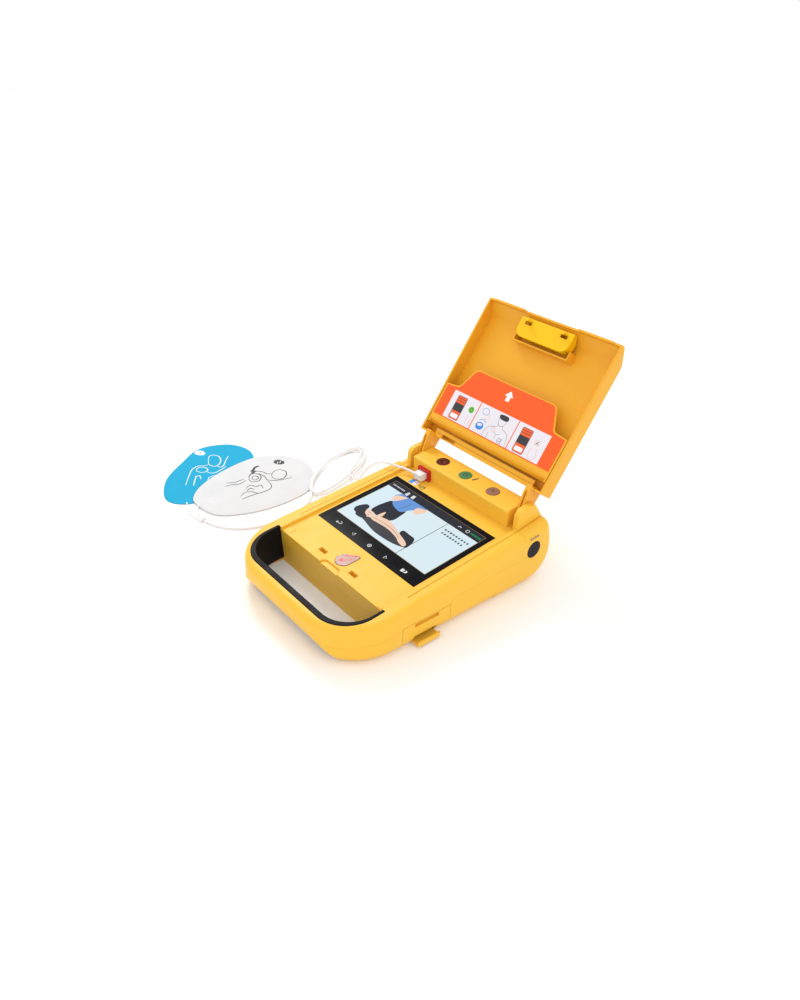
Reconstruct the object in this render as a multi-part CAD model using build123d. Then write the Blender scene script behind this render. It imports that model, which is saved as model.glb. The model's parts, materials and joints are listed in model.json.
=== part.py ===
from build123d import *
import math
import os

os.makedirs("parts", exist_ok=True)

# Automated external defibrillator with its lid open, pads plugged in. Millimetres, +Z up.
# X runs left to right, Y runs from the carry handle (front) to the lid hinge (rear).
# Origin: centre of the casing's flat underside. The deck and lid are drawn in a frame tilted with
# the deck: u along X, v up the deck towards the hinge, w out of the deck, zero at the glass's face.

# --- Casing -------------------------------------------------------------------------------------
CASE_W = 220.0
CASE_L = 306.0
FRONT_CORNER = 65.0
REAR_CORNER = 18.0
BOTTOM_ROUND = 15.0
FRONT_SWEEP = 36.0         # radius of the underside as it rises to the front
RIM_ROUND = 7.0
WALL = 3.0
PARTING = [(-170, 19.0), (-77, 28.5), (-10, 31.6), (-5, 37.5), (170, 43.5)]  # (y, z) across the side
REAR_ARC_R = 37.0          # round underside of the rear
REAR_TOP = (142.4, 77.1)   # (y, z) where the rear barrel meets its top
BARREL_TOP_FRONT_Z = 63.3  # barrel top at BARREL_FRONT, just under the rails
BARREL_FRONT = 60.0
TUB_REAR = 100.0

# --- Deck ---------------------------------------------------------------------------------------
TILT = 6.0
DECK_Y = -42.0
DECK_Z = 51.7
RAIL_RISE = 3.4
DECK_HALF = 89.75
DECK_FRONT = -47.0
DECK_SKIN = 2.6
SEAM_U = 95.5
SEAM_W = 0.9
GLASS = (169.0, 121.0, 1.8)
GLASS_GAP = 0.15
PICTURE = (152.4, 91.4)    # lit area of a 7 inch panel
PICTURE_V = 66.0
PANEL_T = 5.0
HOOK_U = 26.8
HOOK_V = -33.9
HOOK_HOLE = (12.0, 5.4)
HOOK_DEPTH = 6.0
POCKET_WALL = 1.6
NOTCH = (30.0, 7.0, 6.0)
SCREW_CAP_R = 6.0
SCREW_CAP_AT = (83.0, -40.0)

# --- Handle opening and grip --------------------------------------------------------------------
GRIP_HALF = 95.8
GRIP_FRONT = -101.8
GRIP_CORNER = 40.0
GRIP_T = 4.0               # at the sides
GRIP_FRONT_T = 7.0
GRIP_TOP = 3.9
GRIP_DEPTH = 41.0

# --- Console and hinge ears ---------------------------------------------------------------------
CONSOLE_HALF = 79.5
CONSOLE_V = (144.0, 178.5)
CONSOLE_H = 22.0
EAR_IN = 87.1
EAR_OUT = 95.2
EAR_FRONT = 102.0
EAR_TOP = (128.0, 96.6)    # (y, z)
HINGE_V = 165.2
HINGE_W = 14.2
PIN_R = 2.5
PIN_FIT = 0.05
LENS = (-44.5, 162.0, 8.6)       # u, v, radius
POWER = (-4.5, 161.0, 8.0)
MODE = (41.0, 160.7, 8.0)
DASH = (9.5, 163.5)
SHOCK_AT = (1.6, -27.0)
SHOCK_R = 9.7
SHOCK_TIP = (8.4, -14.2, 3.2)
BUTTON_GAP = 0.35
BUTTON_TRAVEL = 1.2
BUTTON_PROUD = 0.8

# --- Lid (drawn closed, turned open about the hinge) --------------------------------------------
LID_OPEN = 130.0
LID_HALF = 100.0
LID_TOP = 24.0
LID_SKIN = 2.6
LID_FRONT = -46.5
LID_REAR = 138.4
LID_FLOOR_GAP = 0.5
ARM_IN = 79.8
ARM_OUT = 86.8
ARM_EYE = 8.4
BAR_W = 10.5
TRAY_HALF = 96.2
TRAY_FACE = 4.2
TRAY_T = 2.0
TRAY_REAR = 125.0
LABEL_HALF = 94.0
LABEL_V = (73.4, 112.8)
TAB_HALF = (62.0, 74.5)
TAB_V = 43.2
LABEL_T = 0.4
LATCH_HALF = 39.5
LATCH_V = (-38.8, -14.4)
LATCH_FACE = 2.6
LATCH_TRAVEL = 3.5

# --- Battery ------------------------------------------------------------------------------------
BATTERY_Y = (-76.0, -10.5)
BATTERY_Z = 30.4
BATTERY_IN = 8.0
BATTERY_GAP = 0.35
BATTERY_FLOOR = 4.0
BATTERY_CAP_T = 5.0
FINGER_Y = (-60.0, -27.0)
FINGER_Z = (24.5, 29.0)
TAB_Y = (-59.0, -29.0)
TAB_X = 117.0

# --- Port cap -----------------------------------------------------------------------------------
PORT = (117.0, 47.4, 10.4)       # y, z, radius

# --- Pads and lead ------------------------------------------------------------------------------
LEAD_R = 1.5
COIL_AT = (-226.0, 94.0)
COIL = (30.0, 84.0)        # half sizes, before turning
COIL_HOLE = (13.0, 62.0)
COIL_TURN = 27.0
COIL_H = 8.0


def deck(u, v, w):
    """Place on the tilted deck."""
    return Location((0, DECK_Y, DECK_Z), (TILT, 0, 0)) * Pos(u, v, w)


def slab(u, v, w):
    """Box between deck coordinates given as (low, high) pairs."""
    size = Box(u[1] - u[0], v[1] - v[0], w[1] - w[0])
    return deck((u[0] + u[1]) / 2, (v[0] + v[1]) / 2, (w[0] + w[1]) / 2) * size


def block(x, y, z):
    """Box between row coordinates given as (low, high) pairs."""
    size = Box(x[1] - x[0], y[1] - y[0], z[1] - z[0])
    return Pos((x[0] + x[1]) / 2, (y[0] + y[1]) / 2, (z[0] + z[1]) / 2) * size


def disc(u, v, w, r, h):
    """Cylinder standing on the deck frame from w up to w + h."""
    return deck(u, v, w + h / 2) * Cylinder(r, h)


def deck_prism(face, low, high):
    """A flat sketch in deck coordinates, as a prism from w = low to w = high."""
    return deck(0, 0, low) * extrude(face, high - low)


def side_prism(face, x0, x1):
    """A sketch in (y, z) as a prism from x0 to x1."""
    return Pos(x0, 0, 0) * extrude(Plane.YZ * face, x1 - x0)


def lid_prism(points, u0, u1, rounds=()):
    """A (v, w) outline as a prism across the lid, in deck placement."""
    face = make_face(Polyline(*points, close=True))
    for v, w, r in rounds:
        corner = face.vertices().sort_by_distance((v, w, 0))[0]
        face = fillet(corner, r)
    solid = extrude(Plane.YZ * face, u1 - u0)
    return deck(u0, 0, 0) * solid


def mirrored(shape):
    return shape.mirror(Plane.YZ)


HINGE = deck(0, HINGE_V, HINGE_W).position
HINGE_AXIS = Axis((0, HINGE.Y, HINGE.Z), (1, 0, 0))
DECK_UP = Vector(0, -math.sin(math.radians(TILT)), math.cos(math.radians(TILT)))


def opened(shape):
    """Turn a lid piece from closed to its open stop."""
    return shape.rotate(HINGE_AXIS, -LID_OPEN)


# === Casing form ================================================================================
def plan(inset=0.0):
    face = Rectangle(CASE_W - 2 * inset, CASE_L - 2 * inset)
    face = fillet(face.vertices().group_by(Axis.Y)[0], FRONT_CORNER - inset)
    return fillet(face.vertices().group_by(Axis.Y)[-1], REAR_CORNER - inset)


def front_sweep(lift=0.0):
    """Everything under the rounded front of the underside."""
    front, r = -CASE_L / 2, FRONT_SWEEP
    turn = ThreePointArc(
        (front, r + lift), (front + r * (1 - math.cos(math.pi / 4)), r * (1 - math.sin(math.pi / 4)) + lift),
        (front + r, lift),
    )
    rest = Polyline((front + r, lift), (front + r, -20), (front - 20, -20), (front - 20, r + lift), (front, r + lift))
    return side_prism(make_face([turn, *rest.edges()]), -200, 200)


def tub():
    """Front and middle of the casing up to the rails, rounded all round."""
    form = extrude(plan(), 90) - deck(0, 0, RAIL_RISE + 100) * Box(500, 900, 200)
    form -= block((-200, 200), (TUB_REAR, 300), (-10, 200))
    low = form.edges().filter_by_position(Axis.Z, -0.01, 0.01)
    form = fillet(low.filter_by(lambda e: e.center().Y < TUB_REAR - 0.1), BOTTOM_ROUND)
    top = form.faces().filter_by(lambda f: f.normal_at().dot(DECK_UP) > 0.9999).sort_by(Axis.Z)[-1]
    rim = top.edges().filter_by(lambda e: e.center().Y < TUB_REAR - 0.1)
    return fillet(rim, RIM_ROUND) - front_sweep()


def barrel_face(inset=0.0):
    """Side outline of the rear barrel, in (y, z)."""
    start = CASE_L / 2 - REAR_ARC_R
    under = Line((BARREL_FRONT, 0), (start, 0))
    turn = ThreePointArc(
        (start, 0),
        (start + REAR_ARC_R * math.sin(math.pi / 4), REAR_ARC_R * (1 - math.cos(math.pi / 4))),
        (CASE_L / 2, REAR_ARC_R),
    )
    back = TangentArc((CASE_L / 2, REAR_ARC_R), REAR_TOP, tangent=(0, 1))
    lid_side = Line(REAR_TOP, (BARREL_FRONT, BARREL_TOP_FRONT_Z))
    front = Line((BARREL_FRONT, BARREL_TOP_FRONT_Z), (BARREL_FRONT, 0))
    face = make_face([under, turn, back, lid_side, front])
    face = fillet(face.vertices().sort_by_distance((*REAR_TOP, 0))[0], 8)
    return offset(face, -inset) if inset else face


def barrel():
    form = side_prism(barrel_face(), -CASE_W / 2, CASE_W / 2)
    ends = form.edges().filter_by(lambda e: abs(abs(e.center().X) - CASE_W / 2) < 0.01)
    return fillet(ends.filter_by(lambda e: e.center().Y > BARREL_FRONT + 0.1), BOTTOM_ROUND - 2)


def console():
    v0, v1 = CONSOLE_V
    points = [(v0, -8), (v0, CONSOLE_H), (v1, CONSOLE_H), (v1 + 9, CONSOLE_H - 16), (v1, -8)]
    form = lid_prism(points, -CONSOLE_HALF, CONSOLE_HALF, [(v1, CONSOLE_H, 7), (v0, CONSOLE_H, 2.5)])
    ends = form.edges().filter_by(lambda e: abs(abs(e.center().X) - CONSOLE_HALF) < 0.01)
    return fillet(ends.filter_by(lambda e: e.center().Z > DECK_Z + 24), 1.2)


def ear():
    """Right hinge ear: a round-topped block outside the arm slot."""
    y, z = EAR_TOP
    face = make_face(Polyline(
        (EAR_FRONT, 60), (EAR_FRONT, z - 3), (y, z), (REAR_TOP[0] + 1, REAR_TOP[1] - 2), (138, 60), close=True
    ))
    face = fillet(face.vertices().sort_by_distance((EAR_FRONT, z - 3, 0))[0], 10)
    face = fillet(face.vertices().sort_by_distance((y, z, 0))[0], 12)
    form = side_prism(face, EAR_IN, EAR_OUT)
    outer = form.edges().filter_by(lambda e: abs(e.center().X - EAR_OUT) < 0.01 and e.center().Z > 66)
    return fillet(outer, 3)


def arm_profile(grow=0.0):
    """Hinge arm outline in (v, w), lid closed."""
    g = grow
    return [
        (LID_REAR - 4, 0.6 - g), (LID_REAR + 6, 0.6 - g), (HINGE_V + 2, HINGE_W - ARM_EYE + 1 - g),
        (HINGE_V + ARM_EYE + g, HINGE_W - 3), (HINGE_V + ARM_EYE + g, HINGE_W + 3),
        (HINGE_V + 2, HINGE_W + ARM_EYE + g), (LID_REAR - 4, LID_TOP + g),
    ]


def arm_slot():
    """Room for the right arm between console and ear, over its whole swing."""
    room = lid_prism(arm_profile(0.8), CONSOLE_HALF, EAR_IN)
    for turn in (30, 60, 90, 110, LID_OPEN):
        room += room_at(turn)
    eye = deck((CONSOLE_HALF + EAR_IN) / 2, HINGE_V, HINGE_W) * Rot(0, 90, 0)
    room += eye * Cylinder(ARM_EYE + 1.4, EAR_IN - CONSOLE_HALF)
    return room + slab((CONSOLE_HALF, EAR_IN), (CONSOLE_V[0] - 4, HINGE_V), (0, 60))


def room_at(turn):
    return lid_prism(arm_profile(0.8), CONSOLE_HALF, EAR_IN).rotate(HINGE_AXIS, -turn)


def grip_outline(side=0.0, ahead=0.0):
    """Handle opening in deck coordinates, open towards the deck."""
    half = GRIP_HALF - side
    front = GRIP_FRONT + ahead
    face = make_face(Polyline((-half, DECK_FRONT), (-half, front), (half, front), (half, DECK_FRONT), close=True))
    return fillet(face.vertices().group_by(Axis.Y)[0], GRIP_CORNER - side)


def shock_outline(gap=0.0):
    """Drop-shaped button, blunt end to the front, its tip to the rear right."""
    blunt = Pos(SHOCK_AT[0], SHOCK_AT[1]) * Circle(SHOCK_R + gap)
    tip = Pos(SHOCK_TIP[0], SHOCK_TIP[1]) * Circle(SHOCK_TIP[2] + gap)
    return make_hull(blunt.edges() + tip.edges())


def casing_form():
    form = tub() + barrel() + console() + ear() + mirrored(ear())
    slot = arm_slot()
    form -= slot + mirrored(slot)
    deck_face = Pos(0, (DECK_FRONT - 20 + CONSOLE_V[0]) / 2) * Rectangle(
        2 * DECK_HALF, CONSOLE_V[0] - DECK_FRONT + 20)
    form -= deck_prism(deck_face, 0, 9)
    form -= deck_prism(grip_outline(), -70, 20)
    seam_low = side_prism(barrel_face(SEAM_W), -200, 200) + deck(0, 0, RAIL_RISE - SEAM_W - 60) * Box(400, 600, 120)
    for side in (-1, 1):
        band = block((side * SEAM_U - 0.45, side * SEAM_U + 0.45), (-60, 180), (42, 90))
        form -= band - seam_low
    return form


def cavity():
    """Space inside both shells behind the handle opening."""
    front = DECK_Y + DECK_FRONT + 6
    inner = extrude(plan(WALL), 80).moved(Location((0, 0, WALL)))
    inner = fillet(inner.edges().filter_by_position(Axis.Z, WALL - 0.01, WALL + 0.01), BOTTOM_ROUND - WALL)
    inner -= deck(0, 0, 100 - DECK_SKIN) * Box(500, 900, 200)
    inner &= block((-200, 200), (front, TUB_REAR + 0.1), (-10, 200))
    rear = side_prism(barrel_face(WALL), -CASE_W / 2 + WALL, CASE_W / 2 - WALL)
    ends = rear.edges().filter_by(lambda e: abs(abs(e.center().X) - CASE_W / 2 + WALL) < 0.01)
    rear = fillet(ends.filter_by(lambda e: e.center().Y > BARREL_FRONT + WALL + 0.1), BOTTOM_ROUND - 2 - WALL)
    rear -= deck(0, 0, 100 - DECK_SKIN) * Box(500, 900, 200)
    box = slab((-CONSOLE_HALF + WALL, CONSOLE_HALF - WALL), (CONSOLE_V[0] + WALL, CONSOLE_V[1] - 2),
               (-20, CONSOLE_H - WALL))
    return inner + rear + box


def parting(shift=0.0):
    """Everything below the parting line."""
    points = [(y, z + shift) for y, z in PARTING]
    face = make_face(Polyline(*points, (170, -50), (-170, -50), close=True))
    return side_prism(face, -200, 200)


def gasket_band():
    """Seal ring round the sealed space, in the wall across the parting line."""
    y0, y1 = DECK_Y + DECK_FRONT + 2.8, CASE_L / 2 - 3.2
    ring = extrude(Pos(0, (y0 + y1) / 2) * RectangleRounded(CASE_W - 1.8, y1 - y0, 12), 120)
    ring -= extrude(Pos(0, (y0 + y1) / 2) * RectangleRounded(CASE_W - 4.2, y1 - y0 - 2.4, 10.8), 120)
    return ring & (parting(0.6) - parting(-0.6))


def battery_cut(gap=0.0):
    """Space taken by the battery, grown by the sliding gap."""
    y0, y1 = BATTERY_Y
    return block((BATTERY_IN - gap, 150), (y0 - gap, y1 + gap), (BATTERY_FLOOR - gap, BATTERY_Z + gap))


def battery_end(gap=0.0):
    """Space taken by the battery's end cap, down to the underside."""
    y0, y1 = BATTERY_Y
    return block((CASE_W / 2 - BATTERY_CAP_T - 11 - gap, 150), (y0 - gap, y1 + gap), (-5, BATTERY_Z + gap))


def build_case():
    form = casing_form()
    space = cavity()
    bay = block((BATTERY_IN - 3, CASE_W / 2 - 2), (BATTERY_Y[0] - 3, BATTERY_Y[1] + 3), (1, BATTERY_Z + 2.4))
    shell = form - space
    band = gasket_band()
    low = (shell & parting()) + (bay & form)
    low -= battery_cut(BATTERY_GAP) + battery_end(BATTERY_GAP)
    high = shell - parting() - bay - battery_cut(BATTERY_GAP) - battery_end(BATTERY_GAP)
    band -= bay + battery_end(BATTERY_GAP) + port_space()
    pad = Pos(CASE_W / 2 - 5.2, PORT[0], PORT[1]) * Rot(0, 90, 0) * Cylinder(PORT[2] + 2.6, 6) & form
    low = (low + (pad & parting()) - port_space()) - band
    high = (high + (pad - parting()) - port_space()) - band
    return form, low, high, band


def port_space():
    """Recess for the port cap and the hole behind it."""
    face = Pos(CASE_W / 2, PORT[0], PORT[1]) * Rot(0, 90, 0)
    return face * Cylinder(PORT[2] + 0.35, 4.6) + face * Cylinder(PORT[2] - 2.6, 40)


form, lower, upper, gasket = build_case()

# === Upper case details =========================================================================
upper -= deck_prism(Pos(0, GLASS[1] / 2) * Rectangle(GLASS[0] + 2 * GLASS_GAP, GLASS[1] + 2 * GLASS_GAP),
                    -GLASS[2], 1)
upper -= slab((-PICTURE[0] / 2 - 3, PICTURE[0] / 2 + 3), (PICTURE_V - PICTURE[1] / 2 - 3,
              PICTURE_V + PICTURE[1] / 2 + 3), (-9, 0))
for side in (-1, 1):
    across, along = HOOK_HOLE[0] / 2, HOOK_HOLE[1] / 2
    upper += slab((side * HOOK_U - across - POCKET_WALL, side * HOOK_U + across + POCKET_WALL),
                  (HOOK_V - along - POCKET_WALL, HOOK_V + along + POCKET_WALL), (-HOOK_DEPTH - POCKET_WALL, -1))
    upper -= slab((side * HOOK_U - across, side * HOOK_U + across), (HOOK_V - along, HOOK_V + along),
                  (-HOOK_DEPTH, 1))
    upper -= disc(side * SCREW_CAP_AT[0], SCREW_CAP_AT[1], -1.2, SCREW_CAP_R, 4)
notch = Pos(0, DECK_FRONT + NOTCH[1] / 2 - 3) * RectangleRounded(NOTCH[0], NOTCH[1] + 6, NOTCH[2] * 0.9)
upper -= deck_prism(notch, -2.0, 5)
upper -= deck_prism(shock_outline(BUTTON_GAP), -12, 5)
for u, v, r in (POWER, MODE):
    upper -= disc(u, v, CONSOLE_H - 8, r + BUTTON_GAP, 12)
upper -= disc(LENS[0], LENS[1], CONSOLE_H - 8, LENS[2], 12)
upper -= deck_prism(Pos(*DASH) * Rot(0, 0, 68) * SlotOverall(9, 2), CONSOLE_H - 8, CONSOLE_H + 4)
SOCKET_U = (-66.0, -48.0)
SOCKET_W = (1.0, 14.0)
upper -= slab(SOCKET_U, (CONSOLE_V[0] - 3, CONSOLE_V[0] + 3.5), SOCKET_W)
pin_hole = Pos(0, HINGE.Y, HINGE.Z) * Rot(0, 90, 0) * Cylinder(PIN_R, 2 * (EAR_OUT - 1.5))
pin_gap = Pos(0, HINGE.Y, HINGE.Z) * Rot(0, 90, 0) * Cylinder(PIN_R, 2 * (CONSOLE_HALF - 9))
pins_space = pin_hole - pin_gap
upper -= pins_space

parts = {"upper_case": upper}

# === Lower case details =========================================================================
FEET = [(-82, -70), (82, -70), (-88, 104), (88, 104)]
SCREWS = [(-97, -20), (-97, 70), (97, 40), (97, 92), (-60, -78)]
SCREW_R = 1.5
under_deck = deck(0, 0, -DECK_SKIN / 2 - 50) * Box(500, 900, 100)
foot = Cylinder(8, 1.6)
for x, y in FEET:
    lower -= Pos(x, y, 0.8) * foot
parts["foot_pads"] = Compound(children=[Pos(x, y, 0.8) * foot for x, y in FEET])
screw = Pos(0, 0, 2.2) * Cylinder(3.0, 2.0) + Pos(0, 0, 16.1) * Cylinder(SCREW_R, 26)
for x, y in SCREWS:
    lower += (Pos(x, y, 11) * Cylinder(4.2, 20)) & form
    lower -= Pos(x, y, 1.6) * Cylinder(3.3, 3.2)
    lower -= Pos(x, y, 12) * Cylinder(SCREW_R + 0.1, 30)
    upper += (Pos(x, y, 21 + 30) * Cylinder(4.2, 60)) & form & under_deck
    upper -= Pos(x, y, 26) * Cylinder(SCREW_R, 10) + Pos(x, y, 15) * Cylinder(SCREW_R, 30)
parts["case_screws"] = Compound(children=[Pos(x, y, 0) * screw for x, y in SCREWS])
parts["lower_case"] = lower
parts["upper_case"] = upper
parts["case_seal"] = gasket

# === Front grip =================================================================================
liner = deck_prism(grip_outline(), -GRIP_DEPTH, GRIP_TOP) - deck_prism(grip_outline(GRIP_T, GRIP_FRONT_T), -60, 20)
liner -= slab((-200, 200), (DECK_FRONT - 0.01, 0), (-60, 20)) + front_sweep(2.0)
lip = liner.faces().filter_by(lambda f: f.normal_at().dot(DECK_UP) > 0.9999)
liner = fillet(lip.edges().filter_by(lambda e: e.center().Y < deck(0, DECK_FRONT, 0).position.Y - 0.5), 1.2)
parts["grip_liner"] = liner

# === Screen and deck trim =======================================================================
glass_face = Pos(0, GLASS[1] / 2) * RectangleRounded(GLASS[0], GLASS[1], 1.2)
parts["screen_glass"] = deck_prism(glass_face, -GLASS[2], 0)
panel_u = PICTURE[0] / 2 + 2.5
parts["display_panel"] = slab((-panel_u, panel_u), (PICTURE_V - PICTURE[1] / 2 - 2.5,
                              PICTURE_V + PICTURE[1] / 2 + 2.5), (-GLASS[2] - PANEL_T, -GLASS[2]))
caps = [disc(side * SCREW_CAP_AT[0], SCREW_CAP_AT[1], -1.2, SCREW_CAP_R, 1.5) for side in (-1, 1)]
parts["deck_screw_caps"] = Compound(children=caps)

# === Buttons, lens, lamp ========================================================================
shock = deck_prism(shock_outline(), -3.4, BUTTON_PROUD)
shock = fillet(shock.faces().sort_by(Axis.Z)[-1].edges(), 0.5)
parts["shock_button"] = shock + disc(SHOCK_AT[0], SHOCK_AT[1], -6.2, 3, 3)


def round_button(u, v, r):
    cap = fillet(Cylinder(r, 4).edges().group_by(Axis.Z)[-1], 0.6)
    return deck(u, v, CONSOLE_H + BUTTON_PROUD - 2) * cap + disc(u, v, CONSOLE_H - 6.2, 2.5, 3.2)


parts["power_button"] = round_button(*POWER)
parts["mode_button"] = round_button(*MODE)
lens = Cylinder(LENS[2], 3) - Pos(0, 0, 5.2 + 1.5) * Sphere(6.8)
parts["speaker_lens"] = deck(LENS[0], LENS[1], CONSOLE_H - 1.5) * lens
parts["status_lamp"] = deck_prism(Pos(*DASH) * Rot(0, 0, 68) * SlotOverall(9, 2), CONSOLE_H - 5, CONSOLE_H)


def switch_at(u, v, top):
    body = slab((u - 3, u + 3), (v - 3, v + 3), (top - 3.5, top))
    return body + disc(u, v, top, 1.6, 0.6)


press_top = -6.2 - BUTTON_TRAVEL - 0.9
parts["shock_switch"] = switch_at(SHOCK_AT[0], SHOCK_AT[1], press_top)
parts["shock_board"] = slab((-40, 40), (-38, -10), (press_top - 5.1, press_top - 3.5))
keys_top = CONSOLE_H + press_top
console_keys = [switch_at(u, v, keys_top) for u, v, _ in (POWER, MODE)]
parts["console_switches"] = Compound(children=console_keys)
parts["console_board"] = slab((-64, 60), (150, 174), (keys_top - 5.1, keys_top - 3.5))
cone = Pos(0, 0, -1) * Cylinder(13, 6) + Pos(0, 0, -6.5) * Cylinder(8, 5)
parts["speaker"] = deck(LENS[0], LENS[1] - 1, -6) * cone

# === Socket and plug ============================================================================
sock_v = (CONSOLE_V[0] - 4.0, CONSOLE_V[0] + 3.5)
socket = slab(SOCKET_U, (CONSOLE_V[0] - 3, sock_v[1]), SOCKET_W)
socket += slab((SOCKET_U[0] - 0.8, SOCKET_U[1] + 0.8), (sock_v[0], CONSOLE_V[0]), (0.2, SOCKET_W[1] + 0.8))
plug_u, plug_w = (SOCKET_U[0] + SOCKET_U[1]) / 2, 7.2
socket -= slab((plug_u - 6.5, plug_u + 6.5), (sock_v[0] - 1, sock_v[1] - 1.2), (plug_w - 4.6, plug_w + 4.6))
parts["pads_socket"] = socket
plug_tip = slab((plug_u - 5.9, plug_u + 5.9), (sock_v[0] - 4, sock_v[1] - 2), (plug_w - 4, plug_w + 4))
plug_grip = slab((plug_u - 6.6, plug_u + 5.6), (sock_v[0] - 9.5, sock_v[0] - 0.5), (plug_w - 4.6, plug_w + 4.6))
plug_grip = fillet(plug_grip.edges().filter_by(lambda e: e.length > 9.5), 1.4)
EXIT = (plug_u - 6.6, sock_v[0] - 5.4, 6.2)
relief_end = EXIT[0] - 7
boot = deck(EXIT[0], EXIT[1], EXIT[2]) * Rot(0, -90, 0) * Pos(0, 0, 3.5) * Cone(2.6, LEAD_R + 0.25, 7)
parts["pads_plug"] = plug_tip + plug_grip + boot

# === Lead, coil and pads ========================================================================
lead_start = deck(relief_end, EXIT[1], EXIT[2]).position
ROUTE = [
    (lead_start.X, lead_start.Y, lead_start.Z), (lead_start.X - 9.5, lead_start.Y, lead_start.Z),
    (-92.5, 83.0, 73.4), (-104.0, 77.0, 75.6), (-117.5, 73.5, 70.5), (-129.5, 73.0, 60.5),
    (-140.5, 74.5, 49.0), (-151.0, 77.5, 37.0), (-161.0, 82.0, 25.0), (-171.0, 87.0, 15.0),
    (-182.0, 91.5, 8.5), (-194.0, 94.0, 5.2),
]
ROUTE_OUT = [
    (-189.0, 23.0, 2.8), (-178.5, 9.5, 1.8), (-171.5, -7.0, 1.6), (-167.5, -25.0, 1.6),
    (-165.5, -43.5, 1.6), (-166.5, -61.5, 1.6), (-171.0, -79.0, 1.6), (-179.5, -94.5, 1.6),
    (-191.5, -107.0, 1.6), (-206.0, -115.5, 1.6), (-221.5, -119.5, 1.6),
]
ROUTE_BLUE = [
    (-225.0, -122.2, 1.4), (-236.0, -124.8, 1.3), (-247.5, -125.0, 1.3), (-259.0, -122.2, 1.4),
    (-269.5, -116.5, 1.5),
]
ROUTE_WHITE = [
    (-225.0, -118.2, 1.8), (-234.5, -118.6, 1.9), (-244.0, -115.8, 2.1), (-252.5, -110.0, 2.4),
    (-259.0, -102.5, 2.6),
]


def tube(points, r):
    """Round tube along straight runs joined by arcs as large as the runs allow."""
    path_points = [Vector(*p) for p in points]
    radii = []
    for a, b, c in zip(path_points, path_points[1:], path_points[2:]):
        turn = math.radians((b - a).get_angle(c - b))
        radii.append(0.45 * min((b - a).length, (c - b).length) / math.tan(turn / 2))
    path = FilletPolyline(*path_points, radius=radii)
    start = Plane(origin=path @ 0, z_dir=path % 0)
    solid = sweep(start * Circle(r), path=path)
    print("tube radii", [round(x, 1) for x in radii], "length", round(path.length, 1),
          "volume ratio", round(solid.volume / (math.pi * r * r * path.length), 4))
    return solid


parts["pads_lead_in"] = tube(ROUTE, LEAD_R)
parts["pads_lead_out"] = tube(ROUTE_OUT, LEAD_R)
parts["blue_pad_lead"] = tube(ROUTE_BLUE, 1.1)
parts["white_pad_lead"] = tube(ROUTE_WHITE, 1.1)
yoke = fillet((Pos(-223.2, -120.1, 2.3) * Rot(0, 0, 14) * Box(6, 9, 4.2)).edges().filter_by(Axis.Z), 1.4)
for node in ("pads_lead_out", "blue_pad_lead", "white_pad_lead"):
    yoke -= parts[node]
parts["lead_yoke"] = yoke

BLUE_T = 1.3
WHITE_T = 1.5
blue_points = [(-266, -112), (-292, -134), (-338, -112), (-372, -70), (-394, -32), (-383, 8),
               (-352, 24), (-318, 12), (-296, -24), (-270, -66)]
white_points = [(-256, -109), (-222, -100), (-202, -62), (-197, -14), (-206, 30), (-234, 58),
                (-274, 68), (-304, 52), (-321, 18), (-316, -30), (-298, -78), (-276, -104)]
blue_face = make_face(Spline(*blue_points, periodic=True))
parts["blue_pad"] = Pos(0, 0, 0.05) * extrude(blue_face, BLUE_T)
white_face = make_face(Spline(*white_points, periodic=True))
white = extrude(white_face, WHITE_T).rotate(Axis((-200, 0, 0), (0, 1, 0)), 1.1)
parts["white_pad"] = Pos(0, 0, 0.25) * white

coil_ring = Pos(COIL_AT[0], COIL_AT[1]) * Rot(0, 0, COIL_TURN) * (Ellipse(*COIL) - Ellipse(*COIL_HOLE))
coil_ring -= make_face(Polyline(*[(x * 1.05 + 13, y * 1.05 + 1) for x, y in white_points], close=True))
coil_solid = Pos(0, 0, 0.2) * extrude(coil_ring, COIL_H)
for node in ("pads_lead_in", "pads_lead_out"):
    coil_solid -= parts[node]
parts["lead_coil"] = coil_solid

# === Hinge pins =================================================================================
pin = Rot(0, 90, 0) * Cylinder(PIN_R, EAR_OUT - 1.5 - CONSOLE_HALF + 9)
pin_x = (EAR_OUT - 1.5 + CONSOLE_HALF - 9) / 2
parts["hinge_pin_right"] = Pos(pin_x, HINGE.Y, HINGE.Z) * pin
parts["hinge_pin_left"] = Pos(-pin_x, HINGE.Y, HINGE.Z) * pin

# === Lid ========================================================================================
s = LID_SKIN
skin_in = [(LID_FRONT + s, -2), (LID_FRONT + s, 8.4), (LID_FRONT + 20, LID_TOP - s),
           (LID_REAR - s, LID_TOP - s), (LID_REAR - s, -2)]
outer = lid_prism([(LID_FRONT, 0.7), (LID_FRONT, 9), (LID_FRONT + 19, LID_TOP), (LID_REAR, LID_TOP), (LID_REAR, 0.7)],
                  -LID_HALF, LID_HALF, [(LID_FRONT + 19, LID_TOP, 12), (LID_FRONT, 9, 6)])
inner = lid_prism(skin_in, -LID_HALF + s, LID_HALF - s, [(LID_FRONT + 20, LID_TOP - s, 10)])
lid = outer - inner
rails_space = slab((-300, 300), (LID_FRONT - 5, LID_REAR + 5), (-5, RAIL_RISE + LID_FLOOR_GAP))
lid -= rails_space - slab((-DECK_HALF + 0.6, DECK_HALF - 0.6), (LID_FRONT - 6, LID_REAR + 6), (-6, 12))
arm = lid_prism(arm_profile(), ARM_IN, ARM_OUT)
arm = fillet(arm.edges().filter_by(Axis.X).filter_by(lambda e: e.center().Y > HINGE.Y), 3)
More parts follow.
